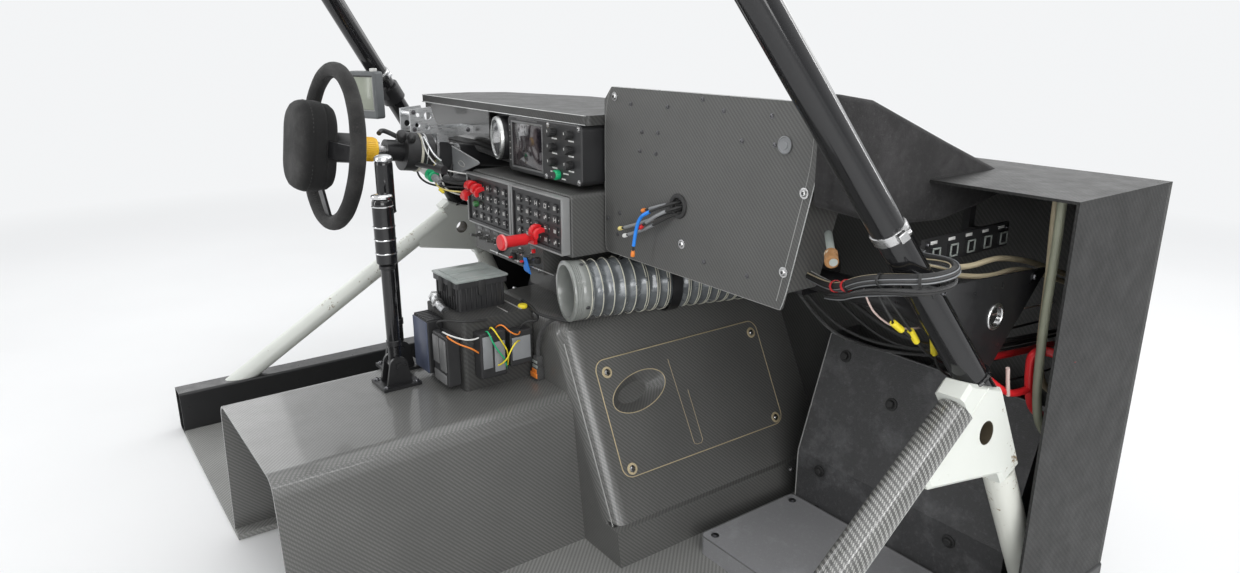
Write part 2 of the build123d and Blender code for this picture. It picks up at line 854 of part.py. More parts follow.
def leg_screen_clamp(screen):
    direction = Vector(-leg_axis.X, leg_axis.Y, leg_axis.Z)
    middle = left_leg_at.position
    start, end = middle - direction * 20, middle + direction * 20
    collar = rod(start, end, tube_r + screen_clamp_t)
    arm_length = screen_arm + 10.0
    arm = Rot(0, 0, screen_turn) * Pos(0, -tube_r + 5.0 - arm_length / 2, 0)
    arm *= Box(30, arm_length, 30)
    shape = collar + left_leg_at * arm - screen
    return shape - rod(start - direction * 50, end + direction * 50, tube_r)


# Steering, built along its own axis and then tilted
steer_plane = Plane(
    origin=(wheel_x, wheel_y, wheel_z),
    x_dir=(1, 0, 0),
    z_dir=(0, cos(radians(column_tilt)), -sin(radians(column_tilt))),
)


def along_column(start, length, radius):
    return steer_plane * Pos(0, 0, start) * Cylinder(radius, length, align=AT_START)


def wheel_rim():
    ring = Torus(rim_major_r, rim_r)
    hub = Pos(0, 0, -pad_gap) * Cylinder(hub_r, spoke_t, align=AT_START)
    shape = hub
    for angle in (0.0, 90.0, 180.0):
        start = Vector(hub_r - 8.0, 0, 0)
        end = Vector(rim_major_r, 0, 0)
        profile = make_face(Polyline(
            (start.X, -pad_gap), (hub_r + 26.0, -pad_gap), (end.X - 6.0, -spoke_t / 2),
            (end.X, -spoke_t / 2), (end.X, spoke_t / 2), (end.X - 8.0, spoke_t / 2),
            (hub_r + 24.0, spoke_t - pad_gap), (start.X, spoke_t - pad_gap), close=True,
        ))
        arm = extrude(Plane.XZ * profile, 17.0, both=True)
        shape += Rot(0, 0, angle) * arm
    return steer_plane * (ring + shape)


def wheel_pad():
    body = Box(pad_w, pad_h, pad_t)
    body = fillet(body.edges().filter_by(Axis.Z), 50.0)
    body = fillet(body.faces().sort_by(Axis.Z)[0].edges(), 14.0)
    return steer_plane * Pos(0, 0, -pad_gap - pad_t / 2) * body


def quick_release():
    boss = Cylinder(30.0, release_start + pad_gap - spoke_t, align=AT_START)
    boss = chamfer(boss.edges().sort_by(Axis.Z)[-1], 6.0)
    ring = Cylinder(release_r, release_length, align=AT_START)
    ring = fillet(ring.edges().sort_by(Axis.Z)[-1], 3.0)
    bore = Cylinder(shaft_r, release_length + 20.0, align=AT_START)
    shape = Pos(0, 0, spoke_t - pad_gap) * boss + Pos(0, 0, release_start) * ring
    return steer_plane * (shape - Pos(0, 0, release_start - 10.0) * bore)


def steering_shaft():
    """Shaft with a narrower end, which the lower shaft's joint slides onto."""
    thick = shaft_length - shaft_end_length
    shape = along_column(release_start - 10.0, thick - release_start + 10.0, shaft_r)
    return shape + along_column(thick, shaft_end_length, shaft_end_r)


def column_housing():
    tube = along_column(housing_start, housing_end - housing_start, housing_r)
    bore = along_column(housing_start - 5, housing_end - housing_start + 10, shaft_r + shaft_fit)
    return tube - bore


def stalk_cluster():
    body = along_column(cluster_start, cluster_length, cluster_r)
    body -= along_column(cluster_start - 5, cluster_length + 10, housing_r)
    for side, lift in ((1, 24.0), (-1, -6.0)):
        start = steer_plane * Pos(side * 30.0, lift, cluster_start + 22.0)
        arm = Rot(0, side * 78.0, 0) * Cylinder(5.0, 80.0, align=AT_START)
        knob = Rot(0, side * 78.0, 0) * Pos(0, 0, 76.0) * Cylinder(9.0, 26.0, align=AT_START)
        body += start * (arm + knob)
    return body - along_column(cluster_start - 5, cluster_length + 10, housing_r)


def column_bracket():
    x0, x1 = wheel_x - 34.0, wheel_x + 34.0
    body = block(x0, x1, dash_bar_y - 16.0, dash_bar_y + 16.0, dash_bar_z - 10.0, dash_bar_z + 93.0)
    body -= block(x0 + 6, x1 - 6, dash_bar_y - 17, dash_bar_y + 17, dash_bar_z + 26.0, dash_bar_z + 57.0)
    body -= rod((x0 - 1, dash_bar_y, dash_bar_z), (x1 + 1, dash_bar_y, dash_bar_z), dash_bar_r)
    return body - along_column(housing_start, housing_end - housing_start, housing_r)


def column_hanger():
    """Two pierced cheeks from a ring on the column housing to the driver's fascia."""
    ring_r = housing_r + hanger_ring_t
    ring = along_column(hanger_start, hanger_length, ring_r)
    front = dash_lip_y + skin_t
    cheek = [
        (-34.0, wheel_z - 28.0), (-34.0, hanger_z0 - 7.0), (hanger_y0, hanger_z0),
        (hanger_y0, hanger_z1 - 4.0), (-44.0, hanger_z1), (-30.0, hanger_foot_z + hanger_foot_h),
        (front, hanger_foot_z + hanger_foot_h), (front, hanger_foot_z), (-6.0, hanger_z0 - 16.0),
        (-6.0, wheel_z - 32.0),
    ]
    shape = ring
    for x0 in (wheel_x - ring_r, wheel_x + ring_r - hanger_t):
        shape += prism_x(cheek, x0, x0 + hanger_t)
    shape += block(
        wheel_x - ring_r, wheel_x + ring_r, front - hanger_t, front,
        hanger_foot_z, hanger_foot_z + hanger_foot_h,
    )
    spacer_y, spacer_z = hanger_y0 + 9.0, hanger_z1 - 14.0
    shape += rod((wheel_x - ring_r, spacer_y, spacer_z), (wheel_x + ring_r, spacer_y, spacer_z), 5.0)
    for ahead, up, radius in ((15.0, 15.0, 7.0), (40.0, 33.0, 8.5), (38.0, 9.0, 5.0), (18.0, 36.0, 4.5)):
        y, z = hanger_y0 + ahead, hanger_z0 + up
        shape -= rod((wheel_x - ring_r - 1, y, z), (wheel_x + ring_r + 1, y, z), radius)
    return shape - along_column(housing_start, housing_end - housing_start, housing_r)


def column_side_plate():
    """Slotted triangular plate on the right cheek of the hanger."""
    x0 = wheel_x + housing_r + hanger_ring_t
    outline = [(-30.0, -2.0), (-11.0, -4.0), (60.0, -58.0), (-11.0, -81.0), (-30.0, -40.0)]
    plate = prism_x([(y, wheel_z + up) for y, up in outline], x0, x0 + side_plate_t, 4.0)
    place = Plane(origin=(x0, 12.0, wheel_z - 46.0), x_dir=(0, 1, 0), z_dir=(1, 0, 0))
    slot = place * SlotOverall(28.0, 9.0)
    return plate - extrude(slot, side_plate_t * 2, both=True)


# Levers
def lever(x, y, top_z, grip_r, grip_length):
    barrel = Rot(0, 90, 0) * Cylinder(lever_barrel_r, lever_barrel_w)
    height = top_z - lever_pivot_z
    shaft = Cylinder(lever_shaft_r, height - 20.0, align=AT_START)
    grip = Pos(0, 0, height - grip_length) * Cylinder(grip_r, grip_length, align=AT_START)
    grip = fillet(grip.edges().sort_by(Axis.Z)[-1], grip_r * 0.8)
    grip = chamfer(grip.edges().sort_by(Axis.Z)[0], 4.0)
    bore = Rot(0, 90, 0) * Cylinder(lever_pin_r + lever_pin_fit, lever_barrel_w + 4)
    return Pos(x, y, lever_pivot_z) * (barrel + shaft + grip - bore)


def lever_bracket(x, y):
    gap = lever_barrel_w / 2 + lever_side_gap
    base = block(x - 34, x + 34, y - 38, y + 38, rear_tunnel_top_z, rear_tunnel_top_z + lever_base_t)
    shape = base
    for x0 in (x - gap - ear_t, x + gap):
        ear = prism_x(
            [(y - 26, rear_tunnel_top_z), (y + 26, rear_tunnel_top_z), (y + ear_r, lever_pivot_z),
             (y - ear_r, lever_pivot_z)],
            x0, x0 + ear_t,
        )
        shape += ear + rod((x0, y, lever_pivot_z), (x0 + ear_t, y, lever_pivot_z), ear_r)
    pin_half = gap + ear_t + 4.0
    pin = rod((x - pin_half, y, lever_pivot_z), (x + pin_half, y, lever_pivot_z), lever_pin_r)
    return shape + pin


def plinth():
    y1 = tunnel_rear_y
    outer = block(plinth_x0, plinth_x1, plinth_y0, y1, rear_tunnel_top_z, plinth_z1)
    outer = fillet(outer.edges().filter_by(Axis.Z), 8.0)
    inner = block(
        plinth_x0 + 3, plinth_x1 - 3, plinth_y0 + 3, y1 - 3, rear_tunnel_top_z, plinth_z1 - 3
    )
    return outer - inner


def fuse_box():
    x0, x1 = plinth_x0 + 10.0, plinth_x1 - 55.0
    y0, y1 = plinth_y0 + 20.0, tunnel_rear_y - 34.0
    z1 = plinth_z1 + fuse_h
    body = block(x0, x1, y0, y1, plinth_z1, z1)
    lid = block(x0 - 5.0, x1 + 5.0, y0 - 5.0, y1 + 5.0, z1, z1 + fuse_lid_t)
    return fillet((body + lid).edges().filter_by(Axis.Z), 5.0)


def relay_modules():
    boxes = [
        (plinth_x0 + 12, plinth_x0 + 78, plinth_y0 - 34.0, plinth_y0, 316.0, 424.0),
        (plinth_x0 + 88, plinth_x0 + 150, plinth_y0 - 28.0, plinth_y0, 310.0, 410.0),
        (plinth_x1, plinth_x1 + 30.0, -150.0, -96.0, 330.0, 420.0),
        (plinth_x1, plinth_x1 + 26.0, -86.0, -38.0, 340.0, 410.0),
    ]
    return Compound(children=[block(*box, 3.0) for box in boxes])


# Air duct along the tunnel's right shoulder
hose_z = tunnel_top_z + collar_r + 8.0
hose_dir = Vector(sin(radians(hose_turn)), cos(radians(hose_turn)), 0)


def hose_point(y):
    return Vector(hose_x + (y - hose_y0) * tan(radians(hose_turn)), y, hose_z)


hose_plane = Plane(origin=(hose_x, hose_y0, hose_z), z_dir=hose_dir)
hose_length = (half_length - bulkhead_t - hose_y0) / cos(radians(hose_turn))
hose_body_length = hose_length - collar_length - spigot_length


def duct_hose():
    """Corrugated wall as a zigzag profile turned round the hose's axis."""
    count = int(hose_body_length / hose_pitch)
    step = hose_body_length / count
    outside = [(hose_r, collar_length)]
    for index in range(count):
        start = collar_length + index * step
        outside += [(hose_r + hose_rib, start + step * 0.35), (hose_r + hose_rib, start + step * 0.65)]
        outside += [(hose_r, start + step)]
    inside = [(radius - hose_wall, along) for radius, along in reversed(outside)]
    profile = make_face(Polyline(*outside, *inside, close=True))
    return hose_plane * revolve(Plane.XZ * profile, Axis.Z)


def duct_collar():
    ring = Cylinder(collar_r, collar_length, align=AT_START)
    ring = fillet(ring.edges(), 2.0)
    return hose_plane * (ring - Cylinder(hose_r - hose_wall, collar_length * 3))


def duct_spigot():
    start = hose_length - spigot_length
    tube = Cylinder(hose_r + 2.0, spigot_length + 20.0, align=AT_START)
    bore = Cylinder(hose_r - hose_wall, spigot_length * 6)
    shape = hose_plane * (Pos(0, 0, start) * tube - Pos(0, 0, start) * bore)
    return split(
        shape, bisect_by=Plane(origin=(0, half_length - bulkhead_t, 0), z_dir=(0, 1, 0)),
        keep=Keep.BOTTOM,
    )


def duct_strap():
    """Band round the hose, hung from the dash bar."""
    y = dash_bar_y
    middle = hose_point(y)
    start = middle - hose_dir * 10
    end = middle + hose_dir * 10
    outer = hose_r + hose_rib + 3.0
    band = rod(start, end, outer)
    hanger = block(
        middle.X - 12, middle.X + 12, y - 6, y + 6, middle.Z + hose_r, dash_bar_z - dash_bar_r + 4
    )
    shape = band + hanger - rod(start - hose_dir * 30, end + hose_dir * 30, outer - 3.0)
    return shape - rod((0, y, dash_bar_z), (500, y, dash_bar_z), dash_bar_r)


# Looms and leads
def cord_tube(points, radius):
    """Round cord along straight runs, joined by arcs as large as the runs allow."""
    corners = [Vector(*point) for point in points]
    radii = []
    for before, corner, after in zip(corners, corners[1:], corners[2:]):
        turn = radians((corner - before).get_angle(after - corner))
        shorter = min((corner - before).length, (after - corner).length)
        radii.append(0.45 * shorter / tan(turn / 2))
    path = FilletPolyline(*points, radius=radii)
    return sweep(Plane(origin=path @ 0, z_dir=path % 0) * Circle(radius), path=path)


side_loom_route = [
    (541.0, 150.0, 604.0), (588.0, 142.0, 598.0), (636.0, 116.0, 612.0), (678.0, 86.0, 634.0),
    (716.0, 66.0, 650.0), (756.0, 58.0, 662.0), (797.0, 72.0, 668.0), (803.0, 118.0, 670.0),
    (776.0, 160.0, 668.0), (742.0, 184.0, 663.0), (708.0, 196.0, 658.0), (687.0, 207.0, 655.0),
    (680.0, 228.4, 653.0),
]


def side_loom():
    """Two cords from the panel box, round the right leg and to the socket strip."""
    lower = [(x, y, z - side_loom_drop) for x, y, z in side_loom_route[:-1]]
    cords = [cord_tube(side_loom_route, side_loom_r), cord_tube(lower, side_loom_thin_r)]
    free = [cord - panel_body() for cord in cords]
    return Compound(children=[max(cord.solids(), key=lambda solid: solid.volume) for cord in free])


tunnel_loom_route = [
    (98.0, 150.0, 430.0), (91.0, 104.0, 429.0), (89.0, 60.0, 430.0), (80.0, 20.0, 431.2),
    (58.0, -12.0, 433.0), (40.0, -27.0, 404.0), (27.0, -26.0, 372.0), (24.0, -25.0, 345.0),
]


def tunnel_loom():
    """Cord over the tunnel's shoulder, down its rear end to a plug that stands on the rear tunnel."""
    end = tunnel_loom_route[-1]
    top = rear_tunnel_top_z
    plug = block(end[0] - 10, end[0] + 10, tunnel_rear_y - 18, tunnel_rear_y, top, top + 26, 2.0)
    neck = block(end[0] - 8, end[0] + 8, tunnel_rear_y - 16, tunnel_rear_y - 2, top + 20, end[2] + 4, 2.0)
    return cord_tube(tunnel_loom_route, tunnel_loom_r) + plug + neck


# Each lead hangs out of the panel plate's hole: where it starts in the hole, then (x, z) points
lead_routes = [
    ((-8.0, 4.0), [(276.0, 676.0), (234.0, 662.0)]),
    ((-2.0, -7.0), [(262.0, 652.0), (218.0, 634.0), (174.0, 620.0)]),
    ((6.0, -9.0), [(268.0, 642.0), (230.0, 624.0), (196.0, 612.0)]),
    ((8.0, 1.0), [(280.0, 662.0), (250.0, 640.0)]),
    ((1.0, 8.0), [(272.0, 668.0), (238.0, 648.0), (230.0, 592.0)]),
]


def panel_leads():
    shapes = []
    for index, (start, route) in enumerate(lead_routes):
        x, z = box_hole_x + start[0], box_hole_z + start[1]
        reach = box_y - 8.0 - 6.0 * index
        points = [(x, box_y + 14.0, z), (x - 4.0, box_y - 2.0, z - 1.0)]
        points += [(px, reach, pz) for px, pz in route]
        tip = Vector(*points[-1])
        axis = (tip - Vector(*points[-2])).normalized()
        shapes.append(cord_tube(points, lead_r) + rod(tip, tip + axis * lead_tip_length, lead_tip_r))
    return Compound(children=shapes)


# Footwells
def toe_board(x0, x1):
    y1 = half_length - bulkhead_t
    slope = Vector(toe_top_y - toe_y, toe_top_z - toe_knee_z).normalized()
    back = (toe_top_y + skin_t / slope.Y, toe_top_z)
    sheet = prism_x(
        [(toe_y, toe_bottom_z), (toe_y, toe_knee_z), (toe_top_y, toe_top_z), back,
         (toe_y + skin_t, toe_knee_z), (toe_y + skin_t, toe_bottom_z)],
        x0, x1,
    )
    rib = [(toe_y + 2, toe_bottom_z), (toe_y + 2, toe_knee_z), (toe_top_y + 2, toe_top_z),
           (y1, toe_top_z), (y1, toe_bottom_z)]
    shape = sheet
    for x in (x0, (x0 + x1 - toe_rib_t) / 2, x1 - toe_rib_t):
        shape += prism_x(rib, x, x + toe_rib_t)
    return shape


def foot_plate():
    outer = block(
        foot_plate_x0, foot_plate_x1, foot_plate_y0, foot_plate_y1, floor_t, foot_plate_z
    )
    outer = fillet(outer.edges().filter_by(Axis.Z), 12.0)
    inner = block(
        foot_plate_x0 + 4, foot_plate_x1 - 4, foot_plate_y0 + 4, foot_plate_y1 - 4,
        floor_t, foot_plate_z - 4,
    )
    return outer - inner


def pedal_box():
    x0, x1 = min(pedal_x) - 44.0, max(pedal_x) + 44.0
    base = block(x0, x1, 262.0, 372.0, floor_t, floor_t + 8.0)
    shape = base
    for x in (x0, x1 - 8.0):
        shape += prism_x([(270.0, floor_t), (360.0, floor_t), (330.0, 62.0), (300.0, 62.0)], x, x + 8.0)
    return shape + rod((x0, 315.0, 48.0), (x1, 315.0, 48.0), 7.0)


def pedal(x):
    pivot = Vector(x, 315.0, 48.0)
    top = Vector(x, 300.0, 236.0)
    boss = rod(pivot - Vector(16, 0, 0), pivot + Vector(16, 0, 0), 15.0)
    arm = rod(pivot, top, 8.0)
    pad = Pos(x, 288.0, 236.0) * Rot(4, 0, 0) * fillet(Box(pedal_w, 8, 84).edges(), 3.0)
    pad += rod(top, top - Vector(0, 10, 0), 8.0)
    bore = rod(pivot - Vector(40, 0, 0), pivot + Vector(40, 0, 0), 7.0)
    return boss + arm + pad - bore


leg_right = upper_leg()
leg_left = mirrored(leg_right)
save(leg_right, "cage_leg_right")
save(leg_left, "cage_leg_left")
save(header_bar(), "cage_header_bar")
save_pair(cage_node(), "cage_node")
save_both(lower_leg(), "cage_lower_legs")
save_both(door_bar(), "cage_door_bars")
save(door_sleeve(), "door_bar_sleeve")
save_both(gusset(), "cage_gussets")
save(dash_bar((leg_right, leg_left)), "dash_bar")

save_both(sill(), "sill_rails")
save(floor_side(rear_tunnel_foot_half + tunnel_x - 30.0, half_width - sill_w), "floor_pan_right")
save(floor_side(sill_w - half_width, tunnel_x - rear_tunnel_foot_half + 30.0), "floor_pan_left")
save(tunnel_cover(), "tunnel_cover")
save(inspection_cover(), "inspection_cover")
save(rear_tunnel(), "rear_tunnel")
save(bulkhead(), "bulkhead")
save_both(side_panel(), "footwell_side_panels")
save(scuttle_panel(), "scuttle_panel")

save(dash_top(), "dash_top")
save(driver_fascia(), "driver_fascia")
save(panel_plate(), "codriver_panel_plate")
save(panel_body(), "codriver_panel_body")
save(dash_clamps(), "dash_clamps")
save(display_pod(), "display_pod")
save(gauge(), "round_gauge")
save(console_housing(), "console_housing")
pad_middle = (console_x0 + console_x1) / 2
keypads = [
    keypad(console_x0 + keypad_gap, pad_middle - keypad_gap / 2),
    keypad(pad_middle + keypad_gap / 2, console_x1 - keypad_gap),
]
save(Compound(children=keypads), "keypads")
save(pull_handle(), "pull_handle")
save(end_cover(), "dash_end_cover")
save(service_strip(), "service_strip")
screen = leg_screen()
save(screen, "leg_screen")
save(leg_screen_clamp(screen), "leg_screen_clamp")

save(wheel_rim(), "wheel_rim")
save(wheel_pad(), "wheel_pad")
save(quick_release(), "quick_release")
save(steering_shaft(), "steering_shaft")
save(column_housing(), "column_housing")
save(stalk_cluster(), "stalk_cluster")
save(column_bracket(), "column_bracket")
save(column_hanger(), "column_hanger")
save(column_side_plate(), "column_side_plate")

save(lever(gear_x, gear_y, gear_top_z, gear_grip_r, gear_grip_length), "gear_lever")
save(lever(brake_x, brake_y, brake_top_z, brake_grip_r, brake_grip_length), "handbrake_lever")
brackets = [lever_bracket(gear_x, gear_y), lever_bracket(brake_x, brake_y)]
save(Compound(children=brackets), "lever_brackets")
save(plinth(), "relay_plinth")
save(fuse_box(), "fuse_box")
save(relay_modules(), "relay_modules")

save(duct_hose(), "duct_hose")
save(duct_collar(), "duct_collar")
save(duct_spigot(), "duct_spigot")
save(duct_strap(), "duct_strap")
save(side_loom(), "side_loom")
save(tunnel_loom(), "tunnel_loom")
save(panel_leads(), "panel_leads")

save(toe_board(toe_x0, toe_x1), "toe_board_codriver")
save(toe_board(-toe_x1, -tunnel_foot_half - 66.0), "toe_board_driver")
save(foot_plate(), "foot_plate")
save(pedal_box(), "pedal_box")
save(Compound(children=[pedal(x) for x in pedal_x]), "pedals")
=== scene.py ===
import math
import random

import bmesh
import bpy
from mathutils import Matrix, Vector


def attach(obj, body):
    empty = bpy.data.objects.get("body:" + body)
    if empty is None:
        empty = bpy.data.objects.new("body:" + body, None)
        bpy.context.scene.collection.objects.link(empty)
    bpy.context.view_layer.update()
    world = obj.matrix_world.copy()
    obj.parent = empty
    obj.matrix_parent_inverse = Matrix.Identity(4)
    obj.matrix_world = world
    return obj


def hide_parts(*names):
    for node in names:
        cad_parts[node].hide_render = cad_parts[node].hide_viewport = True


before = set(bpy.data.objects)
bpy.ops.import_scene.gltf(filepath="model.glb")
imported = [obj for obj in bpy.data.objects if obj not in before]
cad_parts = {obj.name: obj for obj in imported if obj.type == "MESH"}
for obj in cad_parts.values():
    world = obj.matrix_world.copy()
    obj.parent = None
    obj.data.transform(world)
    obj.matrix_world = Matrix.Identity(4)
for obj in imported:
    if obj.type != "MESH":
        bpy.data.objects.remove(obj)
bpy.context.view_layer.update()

IMAGE_W = 1240
FOCAL_PX = 837.2
SENSOR_W = 36.0
CAMERA_AT = (1.361, -0.800, 0.950)
CAMERA_HEADING = 53.9
CAMERA_PITCH = 16.64
CLIP_START = 0.02

ROOT = "section"
STEER = "steering_wheel"
SOFT_EDGE = math.radians(38)
HARD_EDGE = math.radians(20)
BACKDROP = (0.90, 0.91, 0.92, 1.0)
Z_AXIS = Vector((0, 0, 1))
BACK = (0, -1, 0)
MIRROR = Vector((-1, 1, 1))


def make_camera():
    data = bpy.data.cameras.new("camera")
    data.sensor_width = SENSOR_W
    data.lens = SENSOR_W * FOCAL_PX / IMAGE_W
    data.clip_start = CLIP_START
    camera = bpy.data.objects.new("camera", data)
    camera.location = CAMERA_AT
    camera.rotation_euler = (math.radians(90 - CAMERA_PITCH), 0, math.radians(CAMERA_HEADING))
    bpy.context.collection.objects.link(camera)
    bpy.context.scene.camera = camera


# Node graphs
class Graph:
    """Shorthand for wiring the nodes of a material or of the world."""

    def __init__(self, name, owner=None):
        self.owner = owner or bpy.data.materials.new(name)
        self.owner.use_nodes = True
        self.tree = self.owner.node_tree
        self.shader = self.tree.nodes.get("Principled BSDF")

    def node(self, kind, **settings):
        node = self.tree.nodes.new(kind)
        for key, value in settings.items():
            setattr(node, key, value)
        return node

    def feed(self, socket, value):
        """Links an output to a socket, or sets the socket's own value."""
        if isinstance(value, bpy.types.NodeSocket):
            self.tree.links.new(value, socket)
        else:
            socket.default_value = value

    def feed_named(self, node, **values):
        for name, value in values.items():
            self.feed(node.inputs[name.replace("_", " ")], value)

    def made(self, kind, *values, out=0, **settings):
        """Output of a new node whose inputs are fed in their order."""
        node = self.node(kind, **settings)
        for socket, value in zip(node.inputs, values):
            self.feed(socket, value)
        return node.outputs[out]

    def math(self, operation, *values):
        return self.made("ShaderNodeMath", *values, operation=operation)

    def times(self, one, other):
        return self.math("MULTIPLY", one, other)

    def vector(self, operation, *values, out=0):
        return self.made("ShaderNodeVectorMath", *values, out=out, operation=operation)

    def dot(self, vector, way):
        return self.vector("DOT_PRODUCT", vector, tuple(way), out="Value")

    def coords(self, kind="Object"):
        """Object coordinates are in metres."""
        return self.node("ShaderNodeTexCoord").outputs[kind]

    def split(self, vector):
        node = self.node("ShaderNodeSeparateXYZ")
        self.feed(node.inputs[0], vector)
        return node.outputs

    def noise(self, scale, detail=3.0, roughness=0.5, place=None):
        node = self.node("ShaderNodeTexNoise")
        self.feed_named(node, Vector=place or self.coords(), Scale=scale, Detail=detail, Roughness=roughness)
        return node.outputs["Fac"]

    def mix(self, factor, low, high):
        node = self.node("ShaderNodeMix", data_type="RGBA")
        for index, value in ((0, factor), (6, low), (7, high)):
            self.feed(node.inputs[index], value)
        return node.outputs[2]

    def span(self, *values):
        """Value from one range to another: value, from low, from high, and to low, to high unless 0 and 1."""
        return self.made("ShaderNodeMapRange", *values)

    def choose(self, flag, yes, no):
        """yes where flag is 1 and no where it is 0."""
        return self.math("MULTIPLY_ADD", yes, flag, self.times(no, self.math("SUBTRACT", 1.0, flag)))

    def bump(self, height, strength, distance):
        node = self.node("ShaderNodeBump")
        self.feed_named(node, Strength=strength, Distance=distance, Height=height)
        self.feed(self.shader.inputs["Normal"], node.outputs[0])

    def finish(self, color, roughness, metallic=0.0, **sockets):
        self.feed_named(self.shader, Base_Color=color, Roughness=roughness, Metallic=metallic, **sockets)
        return self.owner

    def flat_place(self):
        """The two coordinates that lie in the surface, from its main facing axis."""
        spot = self.split(self.coords())
        x, y, z = (self.math("ABSOLUTE", way) for way in self.split(self.coords("Normal")))
        faces_x = self.times(self.math("GREATER_THAN", x, y), self.math("GREATER_THAN", x, z))
        faces_z = self.times(self.math("GREATER_THAN", z, x), self.math("GREATER_THAN", z, y))
        return self.choose(faces_x, spot[1], spot[0]), self.choose(faces_z, spot[1], spot[2])

    def bar_place(self, origin, axis, radius):
        """Distance round a bar and along it."""
        axis = Vector(axis).normalized()
        side = axis.cross(Z_AXIS).normalized()
        spot = self.vector("SUBTRACT", self.coords(), origin)
        along, across, up = (self.dot(spot, way) for way in (axis, side, side.cross(axis)))
        return self.times(self.math("ARCTAN2", across, up), radius), along


def shade(color, factor=1.0, lift=0.0):
    """Opaque colour, darker or lighter by a factor."""
    return tuple(min(channel * factor + lift, 1.0) for channel in color) + (1.0,)


def grey(level, warm=0.0):
    return level, level, level * (1.0 - warm), 1.0


# Materials: each function's first argument is the material's name
def carbon(name, tow, dark, light, roughness, coat, turn=0.0, bar=None):
    """Two-by-two twill: tows cross over two and under two, each step shifted by one."""
    graph = Graph(name)
    u, v = graph.bar_place(*bar) if bar else graph.flat_place()
    if turn:
        c, s = math.cos(turn), math.sin(turn)
        u, v = (
            graph.math("ADD", graph.times(u, c), graph.times(v, s)),
            graph.math("SUBTRACT", graph.times(v, c), graph.times(u, s)),
        )
    u, v = (graph.math("DIVIDE", way, tow) for way in (u, v))
    steps = graph.math("ADD", graph.math("FLOOR", u), graph.math("FLOOR", v))
    over = graph.math("LESS_THAN", graph.math("FLOORED_MODULO", steps, 4.0), 2.0)
    arcs = [graph.math("SINE", graph.times(graph.math("FRACT", way), math.pi)) for way in (u, v)]
    height = graph.choose(over, *arcs)
    cloud = graph.span(graph.noise(9.0, 4.0), 0.3, 0.7, 0.75, 1.15)
    tint = graph.times(graph.times(graph.math("MULTIPLY_ADD", over, 0.75, 0.25), height), cloud)
    rough = graph.span(graph.noise(24.0, 5.0, 0.65), 0.3, 0.75, roughness, roughness + 0.16)
    graph.bump(height, 0.35, tow * 0.12)
    color = graph.mix(tint, grey(dark, 0.03), grey(light, 0.05))
    return graph.finish(color, rough, Coat_Weight=coat, Coat_Roughness=0.08)


def painted(name, color, roughness, wear=0.0, wear_color=None, grain=0.15, coat=0.0, stain_at=None):
    """Sprayed metal, where wanted with its paint rubbed through in spots or one rust stain."""
    graph = Graph(name)
    base = graph.mix(graph.span(graph.noise(3.0, 2.0), 0.3, 0.7), shade(color, 0.82), shade(color))
    rough = graph.span(graph.noise(60.0, 4.0), 0.3, 0.7, roughness * 0.8, roughness * 1.25)
    graph.bump(graph.noise(420.0, 2.0), grain, 0.0004)
    if wear:
        spots = graph.times(graph.noise(7.0, 6.0, 0.62), graph.noise(120.0, 3.0, 0.7))
        base = graph.mix(graph.span(spots, 0.36 - wear, 0.40 - wear * 0.6), base, shade(wear_color))
    if stain_at:
        apart = graph.vector("DISTANCE", graph.coords(), stain_at, out="Value")
        ragged = graph.math("MULTIPLY_ADD", graph.noise(220.0, 4.0), 0.016, apart)
        base = graph.mix(graph.span(ragged, 0.020, 0.015), base, shade(wear_color))
    return graph.finish(base, rough, Coat_Weight=coat, Coat_Roughness=0.05)


def plastic(name, color, roughness, grain_scale=900.0, grain=0.25, coat=0.0):
    """Moulded plastic with a fine grain and uneven dulling."""
    graph = Graph(name)
    cloud = graph.noise(14.0, 4.0, 0.6)
    rough = graph.span(cloud, 0.3, 0.7, roughness * 0.82, roughness * 1.2)
    graph.bump(graph.noise(grain_scale, 2.0), grain, 0.0003)
    return graph.finish(graph.mix(cloud, shade(color, 0.7), shade(color, 1.35, 0.004)), rough,
        Coat_Weight=coat)


def metal(name, color, roughness, scratch=0.3):
    """Bare metal with fine scratches that run round a standing part."""
    graph = Graph(name)
    lines = graph.noise(1.0, 4.0, 0.6, graph.vector("MULTIPLY", graph.coords(), (60.0, 60.0, 900.0)))
    rough = graph.span(lines, 0.3, 0.7, roughness * 0.7, roughness * 1.4)
    graph.bump(lines, scratch * 0.4, 0.0002)
    return graph.finish(graph.mix(graph.noise(30.0, 4.0, 0.6), shade(color, 0.75), shade(color)), rough, 1.0)


def fibre(name, color, light, scale, roughness=0.95, sheen=0.5, bump=0.6, facing=None):
    """Suede, flock and felt: a matt pile with lighter rubbed areas, and where facing is given, painted shade
    that darkens it where it turns from facing.
    """
    graph = Graph(name)
    pile = graph.noise(scale, 4.0, 0.75)
    rubbed = graph.span(graph.noise(16.0, 5.0, 0.7), 0.42, 0.72)
    specks = graph.span(graph.noise(scale * 0.45, 2.0), 0.62, 0.72, 0.0, 0.5)
    tone = graph.math("ADD", graph.math("ADD", graph.times(rubbed, 0.55), graph.times(pile, 0.4)), specks)
    # Painted shade: the tone drops as the surface turns away from facing, which darkens the sides.
    if facing:
        tone = graph.times(tone, graph.span(graph.dot(graph.coords("Normal"), facing), 0.25, 0.85, 0.12, 1.0))
    graph.bump(pile, bump, 0.0012)
    return graph.finish(
        graph.mix(tone, shade(color), shade(light)), roughness, Sheen_Weight=sheen, Sheen_Roughness=0.4,
    )


